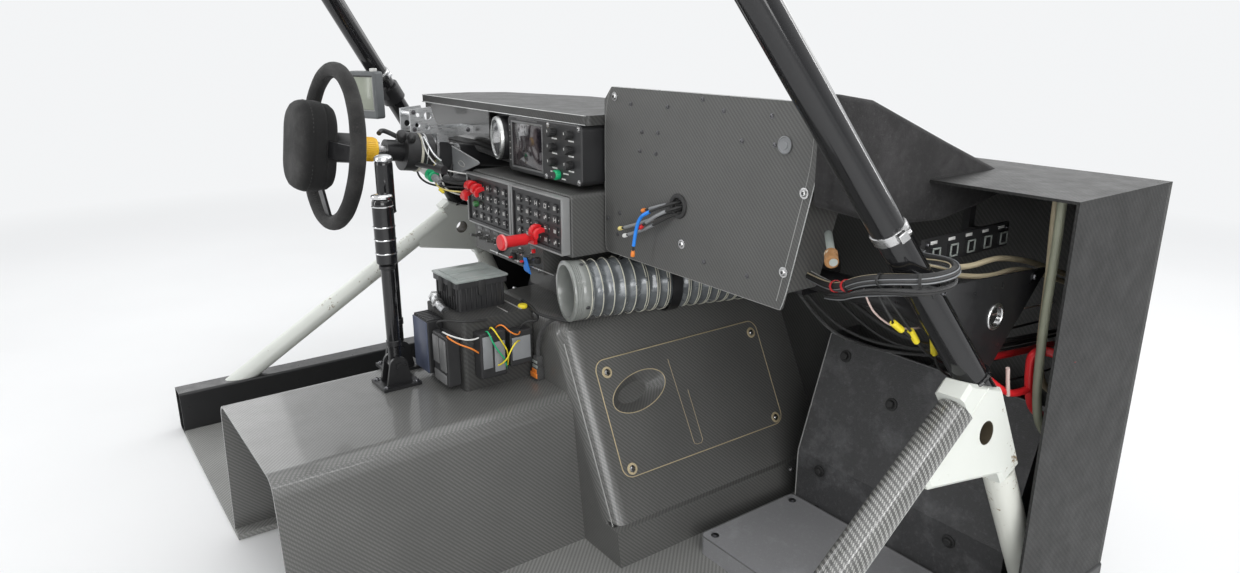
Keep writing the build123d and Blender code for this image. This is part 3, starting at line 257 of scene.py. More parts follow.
def grip_plate(name, low, high, roughness=0.42):
    """Coated footwell panel: matt, with a fine pebble, pale scuffs and dust."""
    graph = Graph(name)
    cells = graph.node("ShaderNodeTexVoronoi", feature="DISTANCE_TO_EDGE")
    graph.feed_named(cells, Vector=graph.coords(), Scale=420.0)
    scuffs = graph.span(graph.noise(11.0, 8.0, 0.72), 0.5, 0.75)
    dust = graph.span(graph.noise(160.0, 3.0, 0.6), 0.55, 0.75, 0.0, 0.6)
    tone = graph.math("ADD", graph.times(scuffs, 0.6), graph.times(dust, 0.35))
    graph.bump(graph.span(cells.outputs[0], 0.0, 0.25), 0.5, 0.0005)
    color = graph.mix(tone, (low, low, low * 1.03, 1.0), (high, high * 1.01, high * 1.05, 1.0))
    return graph.finish(color, graph.span(scuffs, 0.0, 1.0, roughness, roughness + 0.25))


def duct_film(name):
    """Thin grey film over wire hoops."""
    graph = Graph(name)
    cloud = graph.noise(26.0, 5.0, 0.6)
    graph.bump(graph.noise(90.0, 4.0, 0.7), 0.5, 0.002)
    color = graph.mix(cloud, (0.052, 0.057, 0.065, 1.0), (0.25, 0.27, 0.28, 1.0))
    rough = graph.span(cloud, 0.3, 0.7, 0.12, 0.34)
    return graph.finish(color, rough, 0.25, Coat_Weight=0.7, Coat_Roughness=0.1)


def clear_glass(name):
    graph = Graph(name)
    smudge = graph.span(graph.noise(40.0), 0.3, 0.7, 0.02, 0.07)
    return graph.finish(grey(0.98), smudge, Transmission_Weight=1.0, IOR=1.3)


def dark_screen(name):
    """Switched-off display: glossy, with a painted reflection of the cabin as soft lighter patches in its
    colour.
    """
    graph = Graph(name)
    painted_reflection = graph.span(graph.noise(34.0, 5.0, 0.6), 0.40, 0.66)
    color = graph.mix(painted_reflection, (0.012, 0.010, 0.013, 1.0), (0.085, 0.070, 0.072, 1.0))
    return graph.finish(color, graph.span(graph.noise(60.0), 0.3, 0.7, 0.06, 0.14), Coat_Weight=0.6)


SLEEVE_BAR = ((0.7976, 0.164, 0.4688), (0.0466, -0.8452, -0.5325), 0.0252)
# Direction of the pad's face: the suede's painted shade darkens the sides that turn away from it.
PAD_FACING = (0.0, -0.9917, 0.1288)
BROWN = (0.22, 0.16, 0.09)
PALETTE = {
    carbon: {
        "carbon": (0.0020, 0.0812, 0.182, 0.28, 0.5),
        "carbon_plate": (0.0020, 0.0616, 0.119, 0.42, 0.06),
        "carbon_gloss": (0.0024, 0.0308, 0.084, 0.14, 0.6),
        "carbon_top": (0.0024, 0.0266, 0.0728, 0.38, 0.02),
        "carbon_floor": (0.0024, 0.028, 0.07, 0.5, 0.0),
        # A darker copy of the floor carbon: painted shade on the footwell side panels and the scuttle panel.
        "carbon_side": (0.0024, 0.006, 0.022, 0.5, 0.0),
        # A much lighter copy of the floor carbon, for the floor pan.
        "carbon_dusty": (0.0024, 0.154, 0.336, 0.55, 0.0),
        "carbon_sleeve": (0.0027, 0.028, 0.364, 0.18, 1.0, math.radians(20), SLEEVE_BAR),
    },
    painted: {
        "white": ((0.74, 0.76, 0.71), 0.36, 0.02, BROWN),
        "white_leg": ((0.70, 0.71, 0.65), 0.36, 0.02, BROWN, 0.15, 0.0, (0.834, 0.334, 0.297)),
        "black_gloss": ((0.010, 0.010, 0.011), 0.11, 0.0, None, 0.03, 0.15),
        "black_satin": ((0.014, 0.014, 0.015), 0.34),
        # Dark brown for the node bores: their brownish inside, darkened further as painted shade deep in the
        # hole.
        "bore": ((0.055, 0.042, 0.024), 0.6, 0.0, None, 0.6),
        "rust": ((0.34, 0.17, 0.06), 0.6, 0.02, (0.60, 0.56, 0.46), 0.6),
    },
    plastic: {
        "plastic": ((0.022, 0.022, 0.023), 0.42),
        "rubber": ((0.018, 0.018, 0.018), 0.62, 700.0, 0.4),
        "thread": ((0.05, 0.05, 0.05), 0.8),
        "grey_plastic": ((0.224, 0.231, 0.238), 0.45),
        "white_plastic": ((0.62, 0.62, 0.6), 0.4),
        "pale_plastic": ((0.30, 0.33, 0.31), 0.34, 300.0, 0.1, 0.2),
        "lid_plastic": ((0.266, 0.294, 0.28), 0.32, 300.0, 0.1, 0.2),
        "plastic_edge": ((0.14, 0.14, 0.14), 0.34),
        "edge_soft": ((0.30, 0.30, 0.29), 0.34, 300.0, 0.1, 0.2),
        "keypad_edge": ((0.238, 0.2408, 0.238), 0.34, 300.0, 0.1, 0.2),
        "case": ((0.105, 0.112, 0.1162), 0.38),
        "panel_glass": ((0.266, 0.287, 0.231), 0.30, 200.0, 0.02, 0.2),
        "dial": ((0.10, 0.105, 0.11), 0.4),
        "mark": ((0.50, 0.50, 0.48), 0.4),
        "cream": ((0.48, 0.46, 0.38), 0.4),
        "tan": ((0.504, 0.42, 0.266), 0.5),
        "beige": ((0.50, 0.43, 0.29), 0.45),
        "olive": ((0.26, 0.27, 0.20), 0.45),
        "pink": ((0.62, 0.48, 0.44), 0.45),
        "red": ((0.62, 0.015, 0.02), 0.34),
        "red_pale": ((0.75, 0.20, 0.20), 0.4),
        "orange": ((0.80, 0.22, 0.03), 0.42),
        "gold": ((0.86, 0.46, 0.02), 0.26, 700.0, 0.1, 0.3),
        "yellow": ((0.85, 0.62, 0.03), 0.42),
        "yellow_pale": ((0.75, 0.62, 0.22), 0.42),
        "green": ((0.01, 0.40, 0.16), 0.36),
        "green_dark": ((0.03, 0.16, 0.04), 0.36),
        "blue": ((0.02, 0.22, 0.75), 0.4),
        "blue_grey": ((0.077, 0.091, 0.14), 0.36),
        "wire": ((0.58, 0.57, 0.48), 0.30, 300.0, 0.2, 0.4),
        "cuff": ((0.238, 0.2492, 0.2352), 0.24, 90.0, 0.9, 0.6),
    },
    metal: {
        "steel": ((0.62, 0.62, 0.62), 0.26),
        "bolt": ((0.20, 0.20, 0.21), 0.34),
        "alloy": ((0.72, 0.73, 0.74), 0.32),
        "chrome": ((0.85, 0.85, 0.86), 0.10, 0.1),
        "edge": ((0.62, 0.63, 0.62), 0.30, 0.2),
    },
    fibre: {
        # The pad's suede gets painted shade on its sides, which turn away from PAD_FACING.
        "suede": ((0.0056, 0.0056, 0.0056), (0.0644, 0.063, 0.0616), 900.0, 0.95, 0.03, 0.6, PAD_FACING),
        "suede_rim": ((0.007, 0.007, 0.007), (0.0476, 0.0462, 0.0448), 800.0, 0.95, 0.06),
        "flock": ((0.0056, 0.0056, 0.0056), (0.056, 0.0532, 0.0546), 700.0, 0.95, 0.05, 0.9),
        "braid": ((0.0168, 0.0168, 0.0168), (0.098, 0.098, 0.098), 1500.0, 0.7, 0.2),
    },
    # The foot plate's grip is a much lighter copy: painted light for the sky that its coat reflects.
    grip_plate: {"grip": (0.050, 0.21), "grip_pale": (0.30, 0.56, 0.34)},
    duct_film: {"duct": ()},
    clear_glass: {"glass": ()},
    dark_screen: {"screen": ()},
}
SKIN = {look: make(look, *given) for make, rows in PALETTE.items() for look, given in rows.items()}

# Stems of the CAD nodes that wear each look: the longest stem that fits a node counts
NODE_LOOKS = {
    "white": "cage_node cage_door_bars", "white_leg": "cage_lower_legs",
    "black_gloss": "cage_leg cage_header_bar gear_lever handbrake_lever",
    "black_satin": "cage_gussets dash_bar dash_clamps sill_rails leg_screen_clamp round_gauge column_bracket "
                   "lever_brackets pedal_box column_housing duct_strap column_side_plate",
    "carbon": "tunnel_cover inspection_cover rear_tunnel codriver_panel_body",
    "carbon_plate": "console_housing codriver_panel_plate", "carbon_gloss": "driver_fascia",
    "carbon_top": "dash_top", "carbon_floor": "relay_plinth bulkhead", "carbon_dusty": "floor_pan",
    "carbon_side": "footwell_side_panels scuttle_panel", "carbon_sleeve": "door_bar_sleeve",
    "flock": "dash_end_cover", "grip": "toe_board", "grip_pale": "foot_plate", "case": "leg_screen",
    "plastic": "display_pod keypads fuse_box relay_modules stalk_cluster service_strip",
    "alloy": "pedals column_hanger", "suede_rim": "wheel_rim", "suede": "wheel_pad", "gold": "quick_release",
    "steel": "steering_shaft", "duct": "duct_hose duct_collar", "rubber": "duct_spigot panel_leads",
    "red": "pull_handle", "braid": "side_loom tunnel_loom",
}


def dress_nodes():
    """Gives each CAD node its look. The nodes keep their shape."""
    looks = {stem: look for look, stems in NODE_LOOKS.items() for stem in stems.split()}
    for node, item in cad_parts.items():
        stem = max((stem for stem in looks if node == stem or node.startswith(stem + "_")), key=len)
        item.data.materials.clear()
        item.data.materials.append(SKIN[looks[stem]])


# Stage, world and lamps
def make_stage():
    """Pale floor that runs into the backdrop's own colour away from the part."""
    graph = Graph("floor_pale")
    tone = graph.span(graph.noise(1.3, 3.0), 0.3, 0.7)
    graph.finish(graph.mix(tone, grey(0.76), grey(0.80)), 0.8)
    path = graph.node("ShaderNodeLightPath").outputs
    seen = graph.math("MAXIMUM", path["Is Camera Ray"], path["Is Glossy Ray"])
    seen = graph.math("MAXIMUM", seen, path["Is Transmission Ray"])
    far = graph.span(graph.vector("LENGTH", graph.coords(), out="Value"), 1.3, 4.5)
    glow = graph.made("ShaderNodeEmission", BACKDROP)
    blend = graph.made("ShaderNodeMixShader", graph.times(far, seen), graph.shader.outputs[0], glow)
    graph.feed(graph.tree.nodes["Material Output"].inputs[0], blend)

    shape = bmesh.new()
    bmesh.ops.create_grid(shape, x_segments=1, y_segments=1, size=14.0)
    mesh = bpy.data.meshes.new("floor")
    shape.to_mesh(mesh)
    shape.free()
    mesh.materials.append(graph.owner)
    floor = bpy.data.objects.new("floor", mesh)
    floor.location = (0, 0, -0.001)
    bpy.context.collection.objects.link(floor)


def make_world():
    """Backdrop for camera, mirror and glass rays, and a soft light from above for the rest."""
    world = bpy.data.worlds.new("studio")
    bpy.context.scene.world = world
    bpy.context.scene.view_settings.view_transform = "Standard"
    graph = Graph("studio", world)
    graph.tree.nodes.clear()

    def ramp(toward, *spans):
        """Strength that rises towards one direction of the sky."""
        return graph.span(graph.dot(graph.coords("Generated"), toward), *spans)

    path = graph.node("ShaderNodeLightPath").outputs
    clear = graph.math("MAXIMUM", path["Is Camera Ray"], path["Is Transmission Ray"])
    seen = graph.math("MAXIMUM", clear, path["Is Glossy Ray"])
    mirrored = ramp((-0.62, 0.60, 0.50), -0.9, 0.1, 0.30, 1.0)
    shown = graph.made("ShaderNodeBackground", BACKDROP, graph.math("MAXIMUM", clear, mirrored))
    daylight = ramp((0.1, 0.3, 0.95), -0.5, 0.9, 0.42, 0.78)
    lit = graph.made("ShaderNodeBackground", (0.96, 0.98, 1.0, 1.0), daylight)
    out = graph.node("ShaderNodeOutputWorld")
    graph.feed(out.inputs[0], graph.made("ShaderNodeMixShader", seen, lit, shown))


# name, place, aimed at, size, power
LAMPS = [
    ("sky", (0.2, 0.2, 3.4), (0, 0, 0.5), (3.4, 3.0), 31),
    ("windscreen_side", (-0.6, 3.2, 2.2), (0, 0.1, 0.6), (3.2, 1.6), 28),
    ("door_side", (3.3, -1.3, 1.3), (0.3, 0.1, 0.35), (2.2, 1.6), 54),
    ("driver_side", (-3.0, -0.8, 1.8), (-0.2, 0, 0.6), (2.2, 1.6), 18),
    ("door_strip", (1.95, -0.6, 2.45), (0.83, -0.1, 0.25), (2.4, 0.28), 13),
    ("screen_strip", (1.25, 3.2, 2.25), (0.68, -0.09, 0.95), (0.28, 2.2), 20),
    ("rear_strip", (-0.9, -2.3, 1.3), (0.2, 0, 0.75), (0.28, 1.8), 12),
]


def make_lights():
    for name, at, to, size, power in LAMPS:
        data = bpy.data.lights.new(name, "AREA")
        data.shape = "RECTANGLE"
        data.size, data.size_y = size
        data.energy = power
        light = bpy.data.objects.new(name, data)
        light.location = at
        light.rotation_euler = (Vector(to) - Vector(at)).to_track_quat("-Z", "Y").to_euler()
        bpy.context.collection.objects.link(light)


# Small helpers
def mm(x, y, z):
    return Vector((x / 1000, y / 1000, z / 1000))


def angles(count):
    return [2 * math.pi * index / count for index in range(count)]


def polar(radius, angle, height=0.0):
    return Vector((radius * math.cos(angle), radius * math.sin(angle), height))


def aim(origin, direction):
    """Placement whose local Z axis points along a direction."""
    turn = Vector(direction).normalized().to_track_quat("Z", "Y").to_matrix().to_4x4()
    return Matrix.Translation(Vector(origin)) @ turn


def rounded_outline(half_w, half_h, corner, count=8):
    """Points of a rounded rectangle about the origin, in its own two axes."""
    spots = []
    for sign_x, sign_y, start in ((1, 1, 0), (-1, 1, 90), (-1, -1, 180), (1, -1, 270)):
        for step in range(count + 1):
            spot = polar(corner, math.radians(start + 90 * step / count))
            spots.append((sign_x * (half_w - corner) + spot.x, sign_y * (half_h - corner) + spot.y))
    return spots


def filled_in(outline, pitch):
    """Closed outline with more points on its long sides, about a pitch apart."""
    dense = []
    for (a0, b0), (a1, b1) in zip(outline, outline[1:] + outline[:1]):
        steps = max(1, int(math.hypot(a1 - a0, b1 - b0) / pitch))
        dense += [(a0 + (a1 - a0) * k / steps, b0 + (b1 - b0) * k / steps) for k in range(steps)]
    return dense


# Mesh building: the add functions add to a bmesh
def add_object(name, data, look, body=ROOT):
    piece = bpy.data.objects.new(name, data)
    bpy.context.collection.objects.link(piece)
    data.materials.append(SKIN[look])
    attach(piece, body)
    return piece


def mesh_piece(name, shape, look, body=ROOT, smooth=SOFT_EDGE):
    """Turns a bmesh into a piece that rides on a body."""
    mesh = bpy.data.meshes.new(name)
    bmesh.ops.recalc_face_normals(shape, faces=shape.faces)
    shape.to_mesh(mesh)
    shape.free()
    mesh.shade_smooth()
    mesh.set_sharp_from_angle(angle=smooth)
    return add_object(name, mesh, look, body)


def add_box(shape, low, high, place=Matrix.Identity(4), edge=0.0):
    """Box between two corners, with its edges rounded by edge."""
    low, high = Vector(low), Vector(high)
    verts = bmesh.ops.create_cube(shape, size=1.0)["verts"]
    for vert in verts:
        vert.co = Vector((low[i] + high[i]) / 2 + vert.co[i] * (high[i] - low[i]) for i in range(3))
    if edge:
        edges = list({line for vert in verts for line in vert.link_edges})
        result = bmesh.ops.bevel(
            shape, geom=edges, offset=edge, segments=2, affect="EDGES", profile=0.5, clamp_overlap=True,
        )
        faces = set(result["faces"]) | {face for vert in result["verts"] for face in vert.link_faces}
        verts = {vert for face in faces for vert in face.verts}
    for vert in verts:
        vert.co = place @ vert.co


def add_band(shape, below, above):
    """Faces between two rings of corners, one of which may be a single corner."""
    steps = max(len(below), len(above))
    for index in range(steps):
        after = (index + 1) % steps
        if len(below) == 1:
            shape.faces.new((below[0], above[index], above[after]))
        elif len(above) == 1:
            shape.faces.new((below[index], below[after], above[0]))
        else:
            shape.faces.new((below[index], below[after], above[after], above[index]))


def add_skin(shape, rings, closed=False, fan=False):
    """Skin over rings of points with equal counts. It meets its start, or its ends are flat or fanned."""
    made = [[shape.verts.new(point) for point in ring] for ring in rings]
    for below, above in zip(made, made[1:] + made[:1] if closed else made[1:]):
        add_band(shape, below, above)
    if not closed:
        shape.faces.new(list(reversed(made[0])))
    if fan:
        last = made[-1]
        add_band(shape, last, [shape.verts.new(sum((vert.co for vert in last), Vector()) / len(last))])
    elif not closed:
        shape.faces.new(made[-1])


def add_turned(shape, profile, place, steps=24):
    """Turned form: profile is (radius, height) pairs about the local Z axis, in metres."""
    rings = []
    for radius, height in profile:
        spots = [polar(radius, angle, height) for angle in angles(steps if radius > 1e-6 else 1)]
        rings.append([shape.verts.new(place @ spot) for spot in spots])
    for below, above in zip(rings, rings[1:]):
        add_band(shape, below, above)


def add_bolt(shape, origin, direction, radius, height, washer=1.55):
    """Button-head bolt with a hexagon recess on a thin washer."""
    place = aim(origin, direction)
    rim = radius * washer
    add_turned(shape, [
        (0, 0), (rim, 0), (rim, height * 0.3), (radius, height * 0.32), (radius * 0.96, height * 0.7),
        (radius * 0.72, height), (radius * 0.46, height),
    ], place, 16)
    shape.faces.new([shape.verts.new(place @ polar(radius * 0.46, a, height * 0.45)) for a in angles(6)])


def add_stitch(shape, start, end, radius):
    run = end - start
    add_turned(shape, [(0, 0), (radius, 0), (radius, run.length), (0, run.length)], aim(start, run), 6)


def add_ring_tube(shape, points, radius, sides=8):
    """Thin round bar along a closed line of points."""
    count = len(points)
    rings = []
    for index in range(count):
        ahead = (points[(index + 1) % count] - points[index - 1]).normalized()
        helper = Z_AXIS if abs(ahead.z) < 0.9 else Vector((1, 0, 0))
        side = ahead.cross(helper).normalized()
        lift = side.cross(ahead)
        rings.append([
            shape.verts.new(points[index] + radius * (math.cos(a) * side + math.sin(a) * lift))
            for a in angles(sides)
        ])
    for ring, after in zip(rings, rings[1:] + rings[:1]):
        shift = min(range(sides), key=lambda k: (ring[0].co - after[k].co).length)
        add_band(shape, ring, after[shift:] + after[:shift])


def curve(name, points, radius, sides, resolution):
    """Smooth curve whose control points are the given points, thickened to a round bar."""
    data = bpy.data.curves.new(name, "CURVE")
    data.dimensions = "3D"
    data.bevel_depth = radius
    data.bevel_resolution = sides // 4
    data.resolution_u = resolution
    data.use_fill_caps = True
    line = data.splines.new("NURBS")
    line.points.add(len(points) - 1)
    for knot, point in zip(line.points, points):
        knot.co = (*point, 1.0)
    line.order_u = 3
    line.use_endpoint_u = True
    return data


def tube_mesh(name, points, radius, look, sides=10):
    return add_object(name, curve(name, points, radius, sides, 8), look)


def tubes(rows):
    """Round bars in millimetres: name, radius, look, points and the sides, where they aren't 10."""
    for name, radius, look, points, *sides in rows:
        tube_mesh(name, [mm(*point) for point in points], radius / 1000, look, *sides)


def bolts_piece(name, spots, direction, look, radius, height, body=ROOT, washer=1.55):
    shape = bmesh.new()
    for spot in spots:
        add_bolt(shape, spot, direction, radius, height, washer)
    return mesh_piece(name, shape, look, body)


def box_piece(name, look, edge, boxes, place=Matrix.Identity(4)):
    """Boxes as (x0, x1, y0, y1, z0, z1) in millimetres, with their edges rounded by edge in metres."""
    shape = bmesh.new()
    for x0, x1, y0, y1, z0, z1 in boxes:
        add_box(shape, mm(x0, y0, z0), mm(x1, y1, z1), place, edge)
    return mesh_piece(name, shape, look)


def turned_piece(name, look, profile, places, steps=32, body=ROOT, smooth=SOFT_EDGE):
    """One turned profile in millimetres at each place, which is an origin in millimetres and a direction."""
    shape = bmesh.new()
    for origin, direction in places:
        add_turned(shape, [(r / 1000, h / 1000) for r, h in profile], aim(mm(*origin), direction), steps)
    return mesh_piece(name, shape, look, body, smooth)


# Leads out of the panel box: where each starts in the hole, then (x, z) points, tip and sleeve look
PLATE_Y = 0.085
HOLE_X, HOLE_Z = 0.312, 0.680
LEAD_R = 0.0022
LEAD_SIDES, LEAD_RESOLUTION = 8, 10
LEADS = [
    ((-0.008, 0.004), [(0.276, 0.676), (0.234, 0.662)], "orange", "grey_plastic"),
    ((-0.002, -0.007), [(0.262, 0.652), (0.218, 0.634), (0.174, 0.620)], "yellow_pale", "grey_plastic"),
    ((0.006, -0.009), [(0.268, 0.642), (0.230, 0.624), (0.196, 0.612)], "white_plastic", "grey_plastic"),
    ((0.008, 0.001), [(0.280, 0.662), (0.250, 0.640)], "red", "grey_plastic"),
    ((0.001, 0.008), [(0.272, 0.668), (0.238, 0.648), (0.230, 0.592)], "orange", "blue"),
]
LEAD_TIP = [(0, 0), (3.0, 0), (3.1, 3), (3.8, 4), (3.8, 9.5), (3.2, 11), (0, 11)]


def line_points(points):
    """Points along the smooth line that a route gives."""
    data = curve("probe", points, 0.0, LEAD_SIDES, LEAD_RESOLUTION)
    probe = bpy.data.objects.new("probe", data)
    mesh = bpy.data.meshes.new_from_object(probe)
    spots = [vert.co.copy() for vert in mesh.vertices]
    bpy.data.objects.remove(probe)
    bpy.data.curves.remove(data)
    bpy.data.meshes.remove(mesh)
    return spots


def make_leads():
    for index, (start, route, tip_look, sleeve_look) in enumerate(LEADS):
        x, z = HOLE_X + start[0], HOLE_Z + start[1]
        reach = PLATE_Y - 0.008 - 0.006 * index
        points = [(x, PLATE_Y + 0.014, z), (x - 0.004, PLATE_Y - 0.002, z - 0.001)]
        points += [(px, reach, pz) for px, pz in route]
        name = "lead_%d" % (index + 1)
        lead = add_object(name, curve(name, points, LEAD_R, LEAD_SIDES, LEAD_RESOLUTION), "rubber")
        spots = line_points(points)
        end = Vector(points[-1])
        tip = turned_piece(name + "_tip", tip_look, LEAD_TIP, [(end * 1000, end - Vector(points[-2]))], 12)
        sleeve = tube_mesh(name + "_sleeve", spots[int(len(spots) * 0.52)::3], LEAD_R + 0.0009, sleeve_look)
        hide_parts("panel_leads")


# Steering wheel, about its own axis: local Z runs forward along the column, local Y down the wheel
WHEEL_AT = Vector((-0.400, -0.2545, 0.730))
WHEEL_TILT = math.radians(7.4)
RIM_MAJOR = 0.1565
RIM_MINOR = 0.016
SPOKE = [
    (0.030, -0.030), (0.064, -0.030), (0.1505, -0.0025), (0.1540, -0.0025), (0.1540, 0.0025),
    (0.1485, 0.0025), (0.062, -0.025), (0.030, -0.025),
]
PAD_BACK = -0.030
PAD_W, PAD_H, PAD_CORNER = 0.071, 0.091, 0.060
PAD_LEVELS = [
    (0.0060, 0.000), (0.0015, -0.001), (0.0, -0.005), (0.0, -0.022), (0.0012, -0.0245), (0.0, -0.027),
    (0.0004, -0.034), (0.003, -0.0415), (0.008, -0.048), (0.015, -0.0520), (0.025, -0.0543), (0.037, -0.0555),
    (0.048, -0.0559),
]
SKIRT_LEVELS = [
    (0.012, -0.004), (0.004, 0.0005), (0.003, 0.004), (0.004, 0.013), (0.010, 0.021), (0.024, 0.0255),
    (0.036, 0.0262),
]
SEAM_DEPTH = -0.0590


def steer_place(along=0.0):
    s, c = math.sin(WHEEL_TILT), math.cos(WHEEL_TILT)
    place = Matrix(((1, 0, 0), (0, -s, c), (0, -c, -s))).to_4x4()
    place.translation = WHEEL_AT + Vector((0, c, -s)) * along
    return place


STEER_PLACE = steer_place()
AHEAD = STEER_PLACE.to_3x3() @ Z_AXIS


def make_wheel():
    """Rim in its cover with the stitches, spokes with the hub, and the hub's bolts."""
    rings = []
    for angle in angles(144):
        thick = RIM_MINOR * (1.0 + 0.012 * math.sin(3 * angle) + 0.008 * math.sin(17 * angle)) * 0.98
        rings.append([
            STEER_PLACE @ polar(RIM_MAJOR + thick * math.cos(turn), angle, thick * math.sin(turn))
            for turn in angles(20)
        ])
    shape = bmesh.new()
    add_skin(shape, rings, closed=True)
    rim = mesh_piece("rim_cover", shape, "suede_rim", STEER)
    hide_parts("wheel_rim")

    shape = bmesh.new()
    reach, slant = RIM_MINOR + 0.0002, 0.010
    for angle in angles(132):
        add_stitch(shape, *(
            STEER_PLACE @ polar(RIM_MAJOR + reach * math.cos(turn), angle + shift, reach * math.sin(turn))
            for turn, shift in ((math.radians(196), -slant), (math.radians(214), slant))
        ), 0.0005)
    mesh_piece("rim_stitches", shape, "thread", STEER)

    shape = bmesh.new()
    hub = [(0, -0.030), (0.037, -0.030), (0.038, -0.029), (0.038, -0.026), (0.037, -0.025), (0, -0.025)]
    add_turned(shape, hub, STEER_PLACE, 48)
    for angle in (0, 90, 180):
        turn = STEER_PLACE @ Matrix.Rotation(math.radians(angle), 4, "Z")
        add_skin(shape, [
            [turn @ Vector((x, across * (1.0 if x < 0.1 else 0.82), z)) for x, z in SPOKE]
            for across in (-0.017, 0.017)
        ])
    mesh_piece("wheel_spokes", shape, "black_satin", STEER)
    spots = [STEER_PLACE @ polar(0.031, math.radians(angle + 30), -0.025) for angle in range(0, 360, 60)]
    bolts_piece("hub_bolts", spots, AHEAD, "bolt", 0.0035, 0.003, STEER)


def pad_piece(name, levels):
    """Round-cornered form over levels of inset and depth."""
    rings = []
    for inset, depth in levels:
        outline = rounded_outline(PAD_W - inset, PAD_H - inset, max(PAD_CORNER - inset, 0.010), 10)
        rings.append([STEER_PLACE @ Vector((x, y, PAD_BACK + depth)) for x, y in outline])
    shape = bmesh.new()
    add_skin(shape, rings, fan=True)
    return mesh_piece(name, shape, "suede", STEER, math.radians(75))


def make_pad():
    """Suede pad with a puffed face, a stitched seam round its side and a skirt behind it."""
    pad = pad_piece("pad_cover", PAD_LEVELS)
    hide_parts("wheel_pad")
    shape = bmesh.new()
    seam = rounded_outline(PAD_W + 0.0004, PAD_H + 0.0004, PAD_CORNER, 22)
    for (x0, y0), (x1, y1) in list(zip(seam, seam[1:] + seam[:1]))[::2]:
        start = Vector((x0, y0, SEAM_DEPTH))
        end = Vector((x0 + (x1 - x0) * 0.8, y0 + (y1 - y0) * 0.8, SEAM_DEPTH))
        if (end - start).length > 0.0005:
            add_stitch(shape, STEER_PLACE @ start, STEER_PLACE @ end, 0.0005)
    mesh_piece("pad_stitches", shape, "thread", STEER)
    pad_piece("pad_skirt", SKIRT_LEVELS)
    shape = bmesh.new()
    for angle in angles(36):
        add_stitch(shape, *(STEER_PLACE @ polar(0.0252, angle, along) for along in (0.064, 0.086)), 0.0009)
    mesh_piece("release_knurl", shape, "gold", STEER)


def on_column(along):
    """Point of the column's axis in millimetres, from metres along it."""
    return steer_place(along).translation * 1000


# Column: a web with a slot, and looms under the fascia behind it
WEB = [(-386, 717), (-380, 719.5), (-246, 698), (-239, 694), (-244, 690), (-382, 647), (-389, 651)]
FASCIA_LOOMS = [
    (68, 720, 7.5, "rubber"), (70, 706, 7.0, "braid"), (84, 712, 7.5, "rubber"), (92, 722, 5.0, "rubber"),
]
PLUG_AXIS = (0.9, 0.12, -0.30)
KNOB_AXIS = (0.72, -0.30, 0.62)


def make_column():
    for name, look, along, width in (
        ("column_collar_1", "cream", 0.1800, 6.0),
        ("column_collar_2", "alloy", 0.1930, 3.0),
    ):
        collar = [(41.8, 0), (43.4, 0.4), (43.8, 1.2), (43.8, width - 1.2), (43.4, width - 0.4),
            (41.8, width), (41.8, 0)]
        turned_piece(name, look, collar, [(on_column(along), AHEAD)], 56)
    for name, origin, length, radius in (
        ("column_knob_1", (-376, -112, 738), 26, 10.5),
        ("column_knob_2", (-370, -92, 734), 24, 9.0),
    ):
        knob = [(0, 0), (radius - 2, 0), (radius - 2, 6), (radius, 7), (radius, length - 6),
            (radius - 1.2, length - 2), (radius - 4, length), (0, length)]
        turned_piece(name, "plastic", knob, [(origin, KNOB_AXIS)], 28)
    shape = bmesh.new()
    add_skin(shape, [[mm(x, y, z) for x, z in WEB] for y in (-1.5, 1.5)])
    mesh_piece("column_web", shape, "grey_plastic", smooth=HARD_EDGE)
    shape = bmesh.new()
    slot = [(math.cos(angle), math.sin(angle)) for angle in angles(28)]
    add_ring_tube(shape, [mm(-322 + 15 * c, -1.5, 683 + 5.5 * s - 0.12 * 15 * c) for c, s in slot], 0.0011)
    mesh_piece("web_slot_rim", shape, "edge_soft")
    for index, (y, z, radius, look) in enumerate(FASCIA_LOOMS):
        spots = [(-640, y + 70, z - 30), (-600, y + 16, z - 6), (-560, y, z), (-470, y + 2, z - 1),
            (-390, y, z + 1), (-350, y + 10, z - 6), (-318, y + 50, z - 24)]
        tubes([("fascia_loom_%d" % (index + 1), radius, look, spots)])


# Gauge and display pod
GAUGE_TURN = math.radians(14)
GAUGE_FACING = Vector((-math.sin(GAUGE_TURN), -math.cos(GAUGE_TURN), 0))
GAUGE_AT = Vector((-238, 42, 744))
KNOB = [(0.0040, -0.002), (0.0077, -0.002), (0.0080, 0.0), (0.0072, 0.0035), (0.0060, 0.0042), (0, 0.0042)]


def make_pod():
    shape = bmesh.new()
    marks = []
    for x in (-8.0, 50.0):
        for z in (776.0, 748.0, 720.0):
            place = aim(mm(x, 32.0, z), BACK)
            add_turned(shape, KNOB, place, 20)
            for angle in angles(14):
                add_stitch(shape, place @ polar(0.0077, angle, -0.010), place @ polar(0.0077, angle), 0.0007)
            marks.append((x - 0.7, x + 0.7, 27.6, 28.2, z + 0.5, z + 5.5))
            marks.append((x - 9, x + 9, 43.5, 44.1, z - 13.2, z - 10.4))
    mesh_piece("knob_caps", shape, "rubber")
    for x0, x1, z in ((-24, -14, 699), (22, 40, 700), (-22, -10, 688), (16, 30, 689)):
        marks.append((x0, x1, 43.5, 44.1, z, z + 2.5))
    marks += [(-182.5, -180.5, 43.5, 44.1, z, z + 2) for z in range(704, 780, 12)]
    box_piece("pod_marks", "white_plastic", 0.0002, marks)
    slots = [(-150 + 5 * i, -147.5 + 5 * i, 43.4, 44.1, 788.5, 791.5) for i in range(16)]
    box_piece("pod_slots", "plastic_edge", 0.0002, slots)


